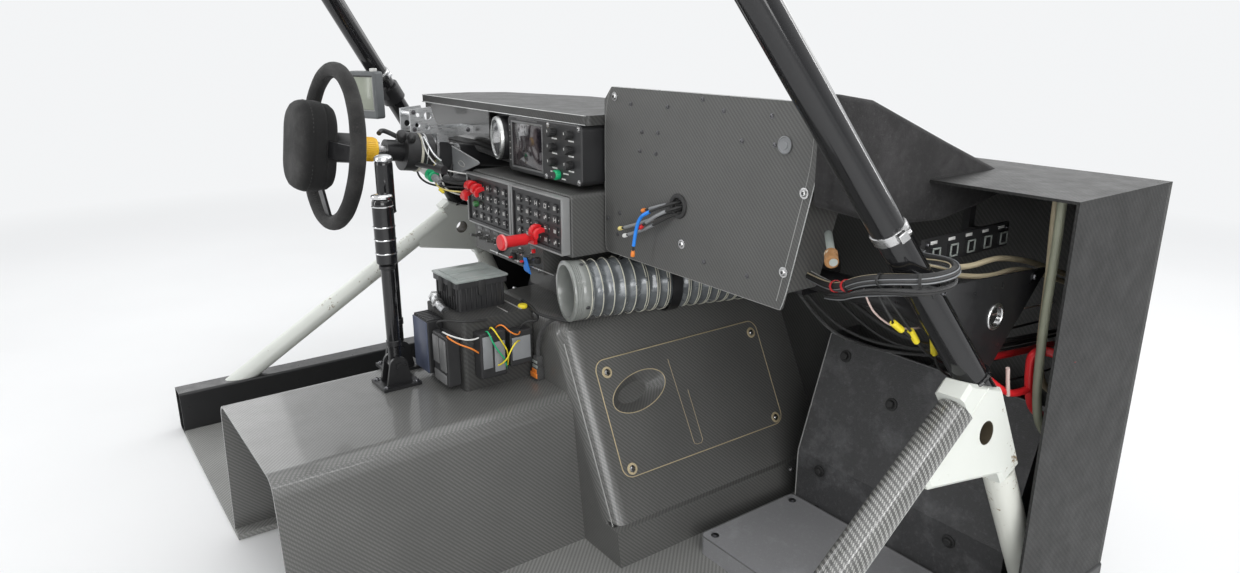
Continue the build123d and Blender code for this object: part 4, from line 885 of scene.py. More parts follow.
def make_gauge():
    place = aim(mm(*(GAUGE_AT - GAUGE_FACING * 5.2)), GAUGE_FACING)
    shape = bmesh.new()
    for index in range(31):
        angle = math.radians(-135 + 9 * index)
        inner = 0.027 if index % 5 == 0 else 0.030
        way = Vector((math.sin(angle), math.cos(angle), 0))
        add_stitch(shape, place @ (way * inner), place @ (way * 0.033), 0.0004)
    needle = math.radians(-96)
    tip = Vector((0.026 * math.sin(needle), 0.026 * math.cos(needle), 0.0006))
    add_stitch(shape, place @ Vector((0, 0, 0.0006)), place @ tip, 0.0008)
    mesh_piece("gauge_marks", shape, "white_plastic")


# Keypads: their spans in x, and each sign as bars (x0, x1, z0, z1) about its key's middle
PAD_SPANS = [(-300.0, -107.0), (-103.0, 90.0)]
KEY_FACE = -2.0
KEY_SIGNS = [
    [(-4, 4, -0.8, 0.8), (-4, 2, 2.4, 3.8)],
    [(-4.5, -3.2, -4, 4), (3.2, 4.5, -4, 4), (-3.2, 3.2, -0.7, 0.7)],
    [(-4, 4, 3, 4.2), (-4, 4, -4.2, -3), (-4, -2.8, -3, 3), (2.8, 4, -3, 3)],
    [(-4, -1.5, -4, 1), (0.5, 4, -1, 4)],
    [(-4, -2.4, -3.5, 3.5), (-1, 0.6, -3.5, 3.5), (2, 3.6, -3.5, 3.5)],
]


def make_keypads():
    rng = random.Random(11)
    frames, marks, dots = [], [], []
    for x0, x1 in PAD_SPANS:
        frames += [
            (x0 + 1, x1 - 1, KEY_FACE - 1.6, 13.0, 665.0, 668.0),
            (x1 - 5, x1 + 0.6, KEY_FACE - 1.6, 13.0, 561.0, 667.0),
            (x0 + 1, x0 + 5, KEY_FACE - 1.2, KEY_FACE + 1, 561.0, 666.0),
            (x0 + 3, x1 - 3, KEY_FACE - 1.0, KEY_FACE + 1, 559.5, 563.0),
        ]
        for col in range(5):
            for row in range(4):
                x = x0 + 12 + 33.8 * (col + 0.5)
                z = 570 + 21.5 * (row + 0.5)
                for a, b, c, d in KEY_SIGNS[rng.randrange(5)]:
                    marks.append((x + a, x + b, KEY_FACE - 0.35, KEY_FACE + 0.2, z + c, z + d))
                dots.append((x + 8.6, x + 10.4, KEY_FACE + 2.4, KEY_FACE + 3.4, z - 0.9, z + 0.9))
    box_piece("keypad_frames", "keypad_edge", 0.0007, frames)
    box_piece("key_marks", "mark", 0.0, marks)
    box_piece("key_lamps", "white_plastic", 0.0002, dots)


# Console: guards as (x, z, width, drop), and the toggles under the keypads
GUARDS = [(-281, 622, 22, 8), (-262, 640, 20, -24), (-236, 640, 13, -6), (-222, 636, 9, 4), (6, 596, 12, 0),
    (20, 592, 9, 0)]
GUARD = [(0, 10), (-8, 12), (-17, 9), (-22, 2), (-22, -5), (-19, -9), (-15, -7), (-15, 0), (-4, 3), (0, 2)]
TOGGLES = (-276.0, -240.0, -204.0, -160.0, -96.0, -48.0)
TAG = [(-6, 17), (4, 19), (10, -8), (14, -17), (-8, -14), (-13, -10)]


def make_console_parts():
    shape = bmesh.new()
    for x, z, width, drop in GUARDS:
        half = width / 2
        place = Matrix.Translation(mm(x, KEY_FACE, z)) @ Matrix.Rotation(math.radians(drop), 4, "X")
        add_skin(shape, [
            [place @ mm(across, y * grow, up * grow) for y, up in GUARD]
            for across, grow in ((-half, 0.94), (1.2 - half, 1.0), (half - 1.2, 1.0), (half, 0.94))
        ])
    mesh_piece("switch_guards", shape, "red")
    plates = [(x - 11, x + 11, 12.9, 14.1, 543, 550) for x in TOGGLES]
    box_piece("toggle_labels", "plastic_edge", 0.0003, plates)

    # Eyelets and a tag on the thin rod in front of the console
    shape = bmesh.new()
    for x, z in ((-190, 508.3), (-100, 508.8), (-16, 509.6)):
        add_turned(shape, [(0.0010, 0), (0.0036, 0), (0.0040, 0.001), (0.0036, 0.006), (0.0010, 0.006)],
            aim(mm(x, 8, z), (1, 0, 0)), 12)
        add_box(shape, mm(x + 1, 9, z - 1.5), mm(x + 5, 14.5, z + 1.5))
    mesh_piece("rod_eyelets", shape, "steel")
    shape = bmesh.new()
    place = Matrix.Translation(mm(-60, 3.6, 510)) @ Matrix.Rotation(math.radians(8), 4, "X")
    add_skin(shape, [[place @ mm(x, y, z) for x, z in TAG] for y in (1.1, -1.1)])
    bmesh.ops.bevel(shape, geom=list(shape.edges), offset=0.0006, segments=2, affect="EDGES")
    mesh_piece("rod_tag", shape, "blue")


# Co-driver's panel: the screws' (x, z), of which some are larger bolts
PANEL_SCREWS = [
    (131.9, 848.0), (365.2, 856.5), (179.2, 837.8), (280.1, 839.2), (413.5, 841.8), (512.9, 841.6),
    (211.0, 792.7), (254.8, 794.9), (205.7, 759.7), (250.2, 759.4), (454.7, 800.9), (521.6, 801.6),
    (582.0, 741.0), (110.0, 625.6), (146.9, 640.9), (140.7, 600.4), (322.8, 617.4), (378.7, 598.4),
    (477.7, 597.6), (552.0, 620.5),
]
PANEL_BIG = {0, 12, 16, 19}

# Other bolts: name, look, radius, height, direction, places in millimetres
BOLTS = [
    ("hanger_bolts", "bolt", 0.0032, 0.003, (1, 0, 0),
        [(-371, -84, 758), (-371, -84, 794), (-371, -20, 720), (-371, 42, 750)]),
    ("pod_screws", "steel", 0.0036, 0.0022, BACK, [(-30, 44, 788), (76, 44, 788), (-40, 44, 688),
        (76, 44, 690)]),
    ("tunnel_screws", "steel", 0.0045, 0.0032, (0.2, 0, 1), [(305, 412, 83)]),
    ("bracket_bolts", "bolt", 0.004, 0.004, (0, 0, 1), [
        (x + dx, y + dy, 306) for x, y in ((-120, -260), (-200, -222)) for dx in (-26, 26) for dy in (-30, 30)
    ]),
    ("gusset_bolts", "bolt", 0.005, 0.004, (1, 0, 0), [(782, 128, 640), (782, 352, 622)]),
    ("foot_plate_bolts", "bolt", 0.005, 0.003, (0, 0, 1),
        [(355, 365, 50), (700, 365, 50), (355, 155, 50), (700, 155, 50)]),
    ("strip_bolts", "bolt", 0.0034, 0.003, (1, 0, 0), [(682, 238, 664), (682, 442, 664)]),
]


def make_bolts():
    """Screws and bolts of the co-driver's panel, and the rows of BOLTS."""
    spots = [mm(x, 85, z) for x, z in PANEL_SCREWS]
    big = [spot for index, spot in enumerate(spots) if index in PANEL_BIG]
    bolts_piece("panel_bolts", big, BACK, "steel", 0.0052, 0.0042)
    small = [spot for spot in spots if spot not in big]
    bolts_piece("panel_screws", small, BACK, "bolt", 0.0030, 0.0022, washer=1.25)
    for name, look, radius, height, direction, spots in BOLTS:
        bolts_piece(name, [mm(*spot) for spot in spots], direction, look, radius, height)


# Duct: a stiff cuff, then film sagging between wire rings
HOSE_AT = Vector((0.090, 0.0, 0.493))
HOSE_TURN = math.radians(14)
HOSE_AXIS = Vector((math.sin(HOSE_TURN), math.cos(HOSE_TURN), 0))
CUFF_L = 0.034
HOSE_END = 0.5368
HOSE_R = 0.0555
HOSE_BORE_R = 0.0494
WIRE_PITCH = 0.0219
HOSE_STEPS = 72
LUMP_COARSE, LUMP_FINE = 0.0008, 0.0005
DOUBLE_FROM = 5
HOOP_R, HOOP_STEPS = 0.0556, 64
SAG_STEPS = ((0.0, 0.0), (0.12, 0.2), (0.3, 0.75), (0.5, 1.0), (0.7, 0.78), (0.88, 0.22))
CUFF = [
    (49.2, 38), (49.2, 2.0), (50.0, 0.3), (54.0, -0.2), (57.6, 0.6), (58.5, 2.6), (58.2, 5.2), (56.6, 6.4),
    (56.2, 7.4), (57.3, 8.4), (57.3, 9.6), (56.2, 10.6), (57.3, 11.8), (57.3, 13.0), (56.0, 14.2),
    (57.0, 15.4), (57.0, 16.4), (55.9, 17.4), (56.7, 19.0), (57.1, 23.0), (57.0, 29.0), (56.2, 31.6),
    (55.6, 33.4), (55.4, 38.0), (49.2, 38),
]


def make_duct():
    place = aim(HOSE_AT, HOSE_AXIS)
    rng = random.Random(5)
    phases = [rng.uniform(0, 6.3) for _ in range(60)]

    def ring(along, radius):
        """Ring of the film, a little lumpy; its lumps change from wire to wire."""
        cell = int(along / WIRE_PITCH) % len(phases)
        spots = []
        for angle in angles(HOSE_STEPS):
            coarse = LUMP_COARSE * math.sin(5 * angle + phases[cell])
            fine = LUMP_FINE * math.sin(11 * angle + phases[-1 - cell])
            spots.append(place @ polar(radius + (coarse + fine), angle, along))
        return spots

    count = round((HOSE_END - CUFF_L) / WIRE_PITCH)
    pitch = (HOSE_END - CUFF_L) / count
    hoops = [CUFF_L + cell * pitch for cell in range(count + 1)]
    rings = []
    for cell in range(count):
        sag = rng.uniform(0.0030, 0.0046)
        rings += [ring(CUFF_L + (cell + part) * pitch, HOSE_R - sag * depth) for part, depth in SAG_STEPS]
    rings.append(ring(HOSE_END, HOSE_R - 0.0005))
    bore = [[place @ polar(HOSE_BORE_R, angle, along) for angle in angles(HOSE_STEPS)] for along in hoops]
    shape = bmesh.new()
    add_skin(shape, rings + bore[::-1], closed=True)
    hose = mesh_piece("duct_film", shape, "duct", smooth=math.radians(60))
    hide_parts("duct_hose")

    shape = bmesh.new()
    shift = place.to_3x3() @ Vector((0, 0, 0.0046))
    for cell, along in enumerate(hoops):
        wobble = rng.uniform(-0.0010, 0.0010)
        points = [
            place @ polar(HOOP_R, angle, along + wobble * math.sin(angle)) for angle in angles(HOOP_STEPS)
        ]
        add_ring_tube(shape, points, 0.0011, 6)
        if DOUBLE_FROM <= cell < count:
            middle = place @ Vector((0, 0, along))
            add_ring_tube(shape, [middle + (spot - middle) * 0.993 + shift for spot in points], 0.0009, 6)
    mesh_piece("duct_wires", shape, "wire")

    cuff = turned_piece("duct_cuff", "cuff", CUFF, [(HOSE_AT * 1000, HOSE_AXIS)], 96)
    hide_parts("duct_collar")
    shape = bmesh.new()
    for turn in (20, 110, 200, 290):
        out = place.to_3x3() @ polar(1.0, math.radians(turn))
        add_bolt(shape, place @ Vector((0, 0, 0.0260)) + out * 0.0570, out, 0.0026, 0.0014)
    mesh_piece("cuff_rivets", shape, "bolt")


# Tunnel: the inspection cover's own axes, its cup and its drawn slot
COVER_LOW = Vector((230.6, 0, 150))
COVER_UP = Vector((-0.4514, 0, 0.8923))
COVER_OUT = Vector((0.8923, 0, 0.4514))
CUP_AT = (120.0, 152.0)
CUP_INSET = 2.6
CUP_RX, CUP_RY = 70.0 - CUP_INSET, 38.0 - CUP_INSET
CUP_TURN = math.radians(12.0)
COVER_SLOT = [(206, 196), (213, 26), (214, 20), (220, 17), (231, 17), (236, 22), (236, 30), (234, 126)]


def cover_spot(along, up, out=3.0):
    """Point on the inspection cover, in metres, from millimetres along it, up it and off it."""
    return (COVER_LOW + Vector((0, along, 0)) + COVER_UP * up + COVER_OUT * out) / 1000


def make_cover_parts():
    shape = bmesh.new()
    rim = filled_in(rounded_outline(212.5, 114.3, 22.0), 8)
    add_ring_tube(shape, [cover_spot(247.5 + a, 114.3 + b, 2.7) for a, b in rim], 0.0011, 6)
    cup = []
    c, s = math.cos(CUP_TURN), math.sin(CUP_TURN)
    for angle in angles(90):
        a, b = CUP_RX * math.cos(angle), CUP_RY * math.sin(angle)
        cup.append(cover_spot(CUP_AT[0] + a * c - b * s, CUP_AT[1] + a * s + b * c, 2.9))
    add_ring_tube(shape, cup, 0.0009, 6)
    corners = [cover_spot(a, b, 3.05) for a, b in COVER_SLOT]
    for start, end in zip(corners, corners[1:]):
        add_stitch(shape, start, end, 0.0005)
    mesh_piece("cover_lines", shape, "tan")
    spots = [cover_spot(a, b) for a, b in ((58, 203), (56, 15), (441, 14), (441, 203))]
    turned_piece("cover_washers", "tan", [(6.6, 0), (11, 0), (11.4, 0.8), (10.6, 1.8), (6.8, 2)],
        [(spot * 1000, COVER_OUT) for spot in spots], 28)
    bolts_piece("cover_bolts", spots, COVER_OUT, "steel", 0.0052, 0.0038, washer=1.25)


# Cage: the right leg's axis, and the seam along its node
LEG_FOOT = Vector((795.0, 208.0, 500.0))
LEG_TOP = Vector((607.0, -283.0, 1250.0))
LEG_AXIS = (LEG_TOP - LEG_FOOT).normalized()
NODE_SEAM = [(816.8, 206, 499.5), (818.6, 176, 478.5), (820.9, 142, 455.6), (823.0, 104, 432.0),
    (824.8, 68, 411.6)]
NODE_BORE = [(17.0, -21.0), (16.0, -21.0), (15.6, -18.0), (15.6, 18.0), (16.0, 21.4), (17.0, 21.4),
    (17.0, -21.0)]
GUSSET_RING = [(13.6, -1), (13.6, 5.2), (15, 6.4), (18.4, 6.2), (19.6, 5.0), (19.6, 4)]


def on_leg(z):
    return LEG_FOOT + LEG_AXIS * ((z - LEG_FOOT.z) / LEG_AXIS.z)


def make_cage_parts():
    shape = bmesh.new()
    for side in (Vector((1, 1, 1)), MIRROR):
        place = aim(on_leg(509.5) * side / 1000, LEG_AXIS * side)
        weld = [place @ polar((23.4 + 0.25 * math.sin(24 * angle)) / 1000, angle) for angle in angles(96)]
        add_ring_tube(shape, weld, 0.0026)
    mesh_piece("node_welds", shape, "black_gloss")
    for label, side in (("right", 1), ("left", -1)):
        # A dark lining in each node's bore: painted shade in the hole over its brownish wall.
        turned_piece("node_bore_" + label, "bore", NODE_BORE,
            [((side * 800.75, 206, 434.25), (side * 0.9962, 0, 0.0872))], 48)
        tubes([("node_seam_" + label, 1.4, "white", [(side * x, y, z) for x, y, z in NODE_SEAM])])
        turned_piece("gusset_ring_" + label, "steel", GUSSET_RING, [((side * 778, 262, 580), (side, 0, 0))],
            48)

    turned_piece("leg_band", "steel", [(22.6, 0), (24.2, 0.4), (24.4, 1.4), (24.4, 12.6), (24.2, 13.6),
        (22.6, 14)], [(on_leg(712), LEG_AXIS)], 48)
    shape = bmesh.new()
    place = aim(on_leg(712) / 1000, LEG_AXIS)
    add_box(shape, (0.0215, -0.006, 0.001), (0.0325, 0.007, 0.013), place, 0.001)
    add_turned(shape, [(0, 0), (0.0042, 0), (0.0042, 0.006), (0.0030, 0.007), (0, 0.007)],
        place @ Matrix.Translation((0.027, 0.006, 0.007)) @ Matrix.Rotation(math.radians(-90), 4, "X"), 6)
    mesh_piece("band_screw", shape, "steel", smooth=HARD_EDGE)


# Footwell: the toe board stands upright up to its knee and slants forward above it
TOE_KNEE = 150
TOE_BOLT = [(0, 0), (11.5, 0), (12, 1), (11.8, 2.2), (7.8, 3), (7.4, 7), (6, 8.2), (0, 8.4)]
TOE_SLANT = (0, -0.9515, 0.3077)
TOE_SPOTS = [(388, 352), (512, 300), (616, 203), (700, 340), (640, 300), (398, 128), (684, 122), (540, 60),
    (398, 40)]


def toe_spot(x, z, off=0.0):
    """Point on the toe board's rear face or off it, in millimetres."""
    y = 390.0 if z <= TOE_KNEE else 390.0 + (z - TOE_KNEE) * 76.0 / 235.0
    return x, y - off, z


def make_footwell():
    places = [(toe_spot(x, z), TOE_SLANT if z > TOE_KNEE else BACK) for x, z in TOE_SPOTS]
    turned_piece("toe_bolts", "rubber", TOE_BOLT, places, 24)
    edge = [toe_spot(340.4, z, 0.4) for z in (14, 60, 120, 149, 160, 240, 320, 384)]
    top = [toe_spot(x, 384.4) for x in (341, 450, 600, 700, 779)]
    tubes([("toe_edge", 1.2, "edge_soft", edge), ("toe_top_edge", 1.2, "plastic_edge", top)])
    shape = bmesh.new()
    plate = filled_in(rounded_outline((720 - 335) / 2, 125, 12, 6), 10)
    add_ring_tube(shape, [mm(527.5 + a, 260 + b, 49.4) for a, b in plate], 0.0014, 6)
    mesh_piece("foot_plate_edge", shape, "plastic_edge")


# The loom from the panel box round the leg: each strand's angle and reach in the bundle, radius and look
LOOM_ROUTE = [
    (541, 150, 604), (588, 142, 598), (636, 116, 612), (678, 86, 634), (716, 66, 650), (756, 58, 662),
    (797, 72, 668), (803, 118, 670), (776, 160, 668), (742, 184, 663), (708, 196, 658), (687, 207, 655),
    (680, 228.4, 653),
]
LOOM_STRANDS = [
    (10, 4.6, 3.0, "rubber"), (85, 4.4, 2.6, "braid"), (150, 4.8, 2.4, "rubber"), (215, 4.6, 2.8, "rubber"),
    (275, 4.8, 2.2, "thread"), (330, 4.4, 2.0, "rubber"), (120, 6.8, 0.8, "mark"),
    (240, 6.6, 1.0, "grey_plastic"), (300, 6.4, 0.8, "grey_plastic"), (45, 6.9, 1.0, "beige"),
]
LOWER_STRANDS = [
    (20, 2.6, 2.4, "rubber"), (140, 2.6, 2.4, "braid"), (260, 2.8, 2.2, "rubber"),
    (330, 4.8, 0.9, "grey_plastic"),
]
LOWER_DROP = 16.0
CORE_REACH = 5


def strand_points(route, angle, reach, twist):
    """A strand's own route: set off from the bundle's middle and turned a little from point to point."""
    points = []
    for index, spot in enumerate(route):
        before, after = Vector(route[max(index - 1, 0)]), Vector(route[min(index + 1, len(route) - 1)])
        ahead = (after - before).normalized()
        side = ahead.cross(Z_AXIS).normalized()
        lift = side.cross(ahead)
        turn = math.radians(angle + twist * index)
        points.append(Vector(spot) + reach * (math.cos(turn) * side + math.sin(turn) * lift))
    return points


def make_loom():
    lower = [(x, y, z - LOWER_DROP) for x, y, z in LOOM_ROUTE[1:-1]]
    for label, route, strands, twist in (("loom", LOOM_ROUTE, LOOM_STRANDS, 14),
            ("loom_low", lower, LOWER_STRANDS, -17)):
        for index, (angle, reach, radius, look) in enumerate(strands):
            spots = [spot / 1000 for spot in strand_points(route, angle, reach, twist)]
            strand = tube_mesh("%s_%d" % (label, index + 1), spots, radius / 1000, look)
            if reach < CORE_REACH:
                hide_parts("side_loom")


def make_fuse_box():
    shape = bmesh.new()
    add_box(shape, mm(-161, -156, 499), mm(-49, -44, 504), edge=0.0016)
    for x in (-150, -102):
        add_box(shape, mm(x, -146, 503.5), mm(x + 42, -54, 505.4), edge=0.0008)
    mesh_piece("fuse_lid", shape, "lid_plastic")
    ribs = [(-150 + 11 * index, -146 + 11 * index, -152.5, -150, 444, 487) for index in range(9)]
    ribs += [(-55, -52.5, -146 + 11 * index, -142 + 11 * index, 444, 487) for index in range(9)]
    box_piece("fuse_ribs", "plastic", 0.0005, ribs)
    caps = [(-150 + 9.4 * i, -144 + 9.4 * i, -203, -172, 423.5, 427) for i in range(7)]
    box_piece("relay_top", "plastic", 0.0008, caps)


def make_sockets():
    """Socket strip: a light edge round each socket and a blank bar over it."""
    edges = [(-9.6, -7.2, 641.0, 659.6), (7.2, 9.6, 641.0, 659.6), (-9.6, 9.6, 640.6, 643.0),
        (-9.6, 9.6, 657.6, 660.0)]
    frames, bars = [], []
    for y in range(252, 472, 44):
        frames += [(687.4, 689.2, y + y0, y + y1, z0, z1) for y0, y1, z0, z1 in edges]
        bars.append((681.6, 682.9, y - 8, y + 8, 664.0, 668.6))
    box_piece("socket_frames", "pale_plastic", 0.0004, frames)
    box_piece("socket_bars", "white_plastic", 0.0003, bars)


# Small display on the left leg, in its own frame: local -Y is its face
SCREEN_PLACE = Matrix.Translation((-0.71629, 0.00243, 0.814)) @ Matrix.Rotation(math.radians(25), 4, "Z")
SCREEN_PLACE = SCREEN_PLACE @ Matrix.Translation((0, -0.0795, 0))


def make_leg_screen():
    for name, look, edge, boxes in (
        ("leg_screen_glass", "panel_glass", 0.0006, [(-32.4, 32.4, -14.6, -13.6, -34.4, 42.4)]),
        # The rim's pale bars are painted highlights along the frame's edges.
        ("leg_screen_rim", "edge_soft", 0.0005, [(-35, 35, -15.8, -14.6, -37.4, -35.4),
            (-35.4, -33.4, -15.6, -14.6, -36, 44), (33.4, 35.4, -15.6, -14.6, -36, 44)]),
        ("leg_screen_brow", "thread", 0.0006, [(-35, 35, -16.4, -14.6, 43, 46)]),
    ):
        box_piece(name, look, edge, boxes, SCREEN_PLACE)
    shape = bmesh.new()
    knob = [(0, 0), (0.0082, 0), (0.0088, 0.0008), (0.0088, 0.0060), (0.0078, 0.0072), (0, 0.0076)]
    add_turned(shape, knob, SCREEN_PLACE @ Matrix.Translation((0.030, -0.004, 0.0555)), 24)
    mesh_piece("leg_screen_knob", shape, "white_plastic")
    middle, axis = on_leg(852) * MIRROR, LEG_AXIS * MIRROR
    turned_piece("screen_band", "steel", [(22.6, 0), (25.4, 0.6), (26.0, 2), (26.0, 14), (25.4, 15.4),
        (22.6, 16)], [(middle, axis)], 48)
    shape = bmesh.new()
    place = aim(middle / 1000, axis)
    add_box(shape, (-0.008, -0.040, 0.002), (0.008, -0.024, 0.014), place, 0.0012)
    add_box(shape, (0.024, -0.007, 0.003), (0.038, 0.007, 0.013), place, 0.0012)
    mesh_piece("screen_band_lugs", shape, "alloy")


# Levers: where they stand, and for each piece on them its rings as (profile, steps, heights)
GEAR, BRAKE = "gear_lever", "handbrake_lever"
LEVERS = {GEAR: (-120, -260), BRAKE: (-200, -222)}
GEAR_RING = [(18.8, 0), (20.4, 0.4), (20.7, 1.6), (20.4, 2.8), (18.8, 3.2)]
GEAR_RING_TOP = [(18.6, 0), (19.8, 0.6), (19.8, 2.2), (18.6, 3)]
LEVER_RINGS = [
    ("gear_rings", "chrome", GEAR, [(GEAR_RING, 48, (562, 588, 612)), (GEAR_RING_TOP, 48, (650,))]),
    ("gear_collars", "black_satin", GEAR, [([(12.8, 0), (15, 1), (15.4, 4), (15, 7), (12.8, 8)], 36, (532,)),
        ([(12.8, 0), (14, 1), (14, 10), (12.8, 11)], 36, (380,))]),
    ("brake_collars", "black_satin", BRAKE, [([(16.6, 0), (17.6, 0.6), (17.6, 3), (16.6, 3.6)], 48, (622,)),
        ([(12.8, 0), (14.2, 1), (14.2, 12), (12.8, 13)], 36, (392,))]),
    ("gear_cap", "chrome", GEAR, [([(18.4, -5), (19.3, -4.6), (19.6, -3), (19.4, -0.5), (17.6, 1.4),
        (12, 2.6), (0, 3.2)], 40, (671,))]),
    ("brake_cap", "alloy", BRAKE, [([(16.4, -7), (17.3, -6.4), (17.4, -3), (16.8, 0), (14.4, 2.6), (9.5, 4.6),
        (0, 5.6)], 40, (729,))]),
]


def lever_rings():
    """Rings, collars and caps of both levers."""
    for name, look, body, rings in LEVER_RINGS:
        shape = bmesh.new()
        for profile, steps, heights in rings:
            for z in heights:
                add_turned(shape, [(r / 1000, h / 1000) for r, h in profile],
                    Matrix.Translation(mm(*LEVERS[body], z)), steps)
        mesh_piece(name, shape, look, body)


# Turned pieces: name, look, profile, places, and the steps, body and smoothing where they differ
TURNED = [
    ("release_sleeve", "black_satin", [(29.8, -24.6), (30.7, -24.6), (31.0, -23.6), (31.0, -4.0),
        (30.4, -3.0), (30.4, 4.0), (31.0, 5.0), (31.0, 57.0), (30.4, 58.4), (25.4, 58.6), (25.4, 57.9),
        (29.8, 57.9), (29.8, -24.6)], [(WHEEL_AT * 1000, AHEAD)], 48, STEER),
    ("release_clip", "steel", [(12, 0), (17, 0), (17, 5), (12, 5), (12, 0)], [(on_column(0.0935), AHEAD)], 32,
        STEER),
    ("plug_white", "white_plastic", [(0, 0), (9, 0), (10, 1), (10, 26), (11, 27), (11, 30), (0, 30)],
        [((-384, -66, 672), PLUG_AXIS)]),
    ("plug_green", "green", [(0, 0), (12, 0), (13, 1.5), (13, 6), (12, 7.5), (12, 10), (13, 11.5), (13, 17),
        (11, 19), (0, 19)], [((-357, -62.4, 663), PLUG_AXIS)]),
    ("plug_grey", "grey_plastic", [(0, 0), (8, 0), (8, 14), (6, 16), (4, 24), (0, 24)],
        [((-340, -60, 657.4), PLUG_AXIS)]),
    ("wire_tag", "yellow", [(2.9, 0), (3.4, 0), (3.4, 13), (2.9, 13), (2.9, 0)],
        [((-338, -50, 630), (0.62, 0.4, -0.5))], 12),
    ("column_band", "steel", [(23.2, 0), (25.2, 0), (25.2, 12), (23.2, 12), (23.2, 0)],
        [(on_column(0.268), AHEAD)]),
    ("pod_button", "green", [(0, 0), (9, 0), (9.5, 1), (9.5, 9), (8, 11), (0, 11.5)], [((5, 44, 697), BACK)]),
    ("gauge_bezel", "edge", [(36.5, -6), (36.5, 0.5), (38, 2.2), (41, 2.6), (44, 1.2), (45.2, -2),
        (45.2, -6)], [(GAUGE_AT, GAUGE_FACING)], 64),
    ("gauge_dial", "dial", [(36.6, 0), (0, 0.01)], [(GAUGE_AT - GAUGE_FACING * 5.4, GAUGE_FACING)], 64),
    ("gauge_glass", "glass", [(0, 0), (36.4, 0), (36.4, 1.2), (0, 1.2)],
        [(GAUGE_AT - GAUGE_FACING * 1.2, GAUGE_FACING)], 64),
    ("lamp_green", "green_dark", [(0, 0), (6.5, 0), (6.5, 6), (5, 9), (0, 10)], [((-253, -2, 606), BACK)]),
    ("pull_ring", "red_pale", [(9, 0), (15.4, 0), (15.8, 1), (15.8, 4), (15, 5), (9, 5)],
        [((-15, -74.4, 576), (0, 1, 0))]),
    ("toggle_nuts", "steel", [(6.2, 0), (9.2, 0), (9.6, 1), (9.2, 3), (6.2, 3.2)],
        [((x, 14, 530), BACK) for x in TOGGLES], 6),
    ("panel_plug", "grey_plastic", [(0, 0), (11, 0), (12.6, 0.6), (12.8, 2.0), (11.4, 2.8), (10.6, 1.6),
        (6.2, 1.4), (5.6, 2.6), (0, 2.9)], [((541.5, 85, 803.6), BACK)], 40),
    ("panel_grommet", "rubber", [(14.6, -4), (14.6, 0.4), (13.6, 1.6), (14.4, 3.2), (17, 3.8), (20.4, 3.0),
        (21.2, 1.4), (20.8, 0), (17.5, -0.2)], [((312, 85, 680), BACK)], 40),
    ("pipe_nuts", "steel", [(8.6, 0), (12.2, 0), (12.6, 1), (12.6, 10), (12, 11), (8.6, 11)],
        [((-159, -76, 452.6), (-0.1, -1, 0.03)), ((-150, -157, 452), (0.9, -0.3, -0.1)),
        ((-118, -166.5, 447), (1, 0, -0.15))], 6, ROOT, HARD_EDGE),
    ("cap_yellow", "yellow", [(0, 0), (9, 0), (9.5, 1), (9.5, 5), (7.5, 7), (0, 7.4)],
        [((-14, -34, 440), (0, 0, 1))]),
    ("wire_ferrules", "yellow", [(2.2, 0), (4.4, 0.4), (4.7, 2), (4.7, 24), (4.4, 26), (2.2, 26.5)],
        [((740, 90, 594.6), (0, 27, -19)), ((740, 131, 575), (0, 18, -21)), ((740, 185.5, 552), (0, 6, -22))],
        14),
    ("loom_tape", "red", [(8.2, 0), (9, 0.4), (9, 7), (8.2, 7.4)],
        [((612, 128, 606), (0.8, -0.5, 0.3)), ((650, 104, 620), (0.8, -0.5, 0.35))], 14),
    ("rod_coupling", "rust", [(0, 0), (8.0, 0), (9.4, 1.2), (9.4, 11), (8.2, 12), (8.2, 16), (9.6, 17),
        (9.6, 25), (7.4, 27), (0, 27)], [((640, 80, 668), (0.66, -0.70, -0.25))], 12),
    ("loom_ties", "rubber", [(8.2, 0), (9.2, 0.4), (9.2, 3.4), (8.2, 3.8)],
        [((658, 101, 622), (0.8, -0.55, 0.3)), ((736, 61, 656), (0.95, -0.15, 0.25)),
        ((788, 66, 666), (0.85, 0.45, 0.1))], 20),
]

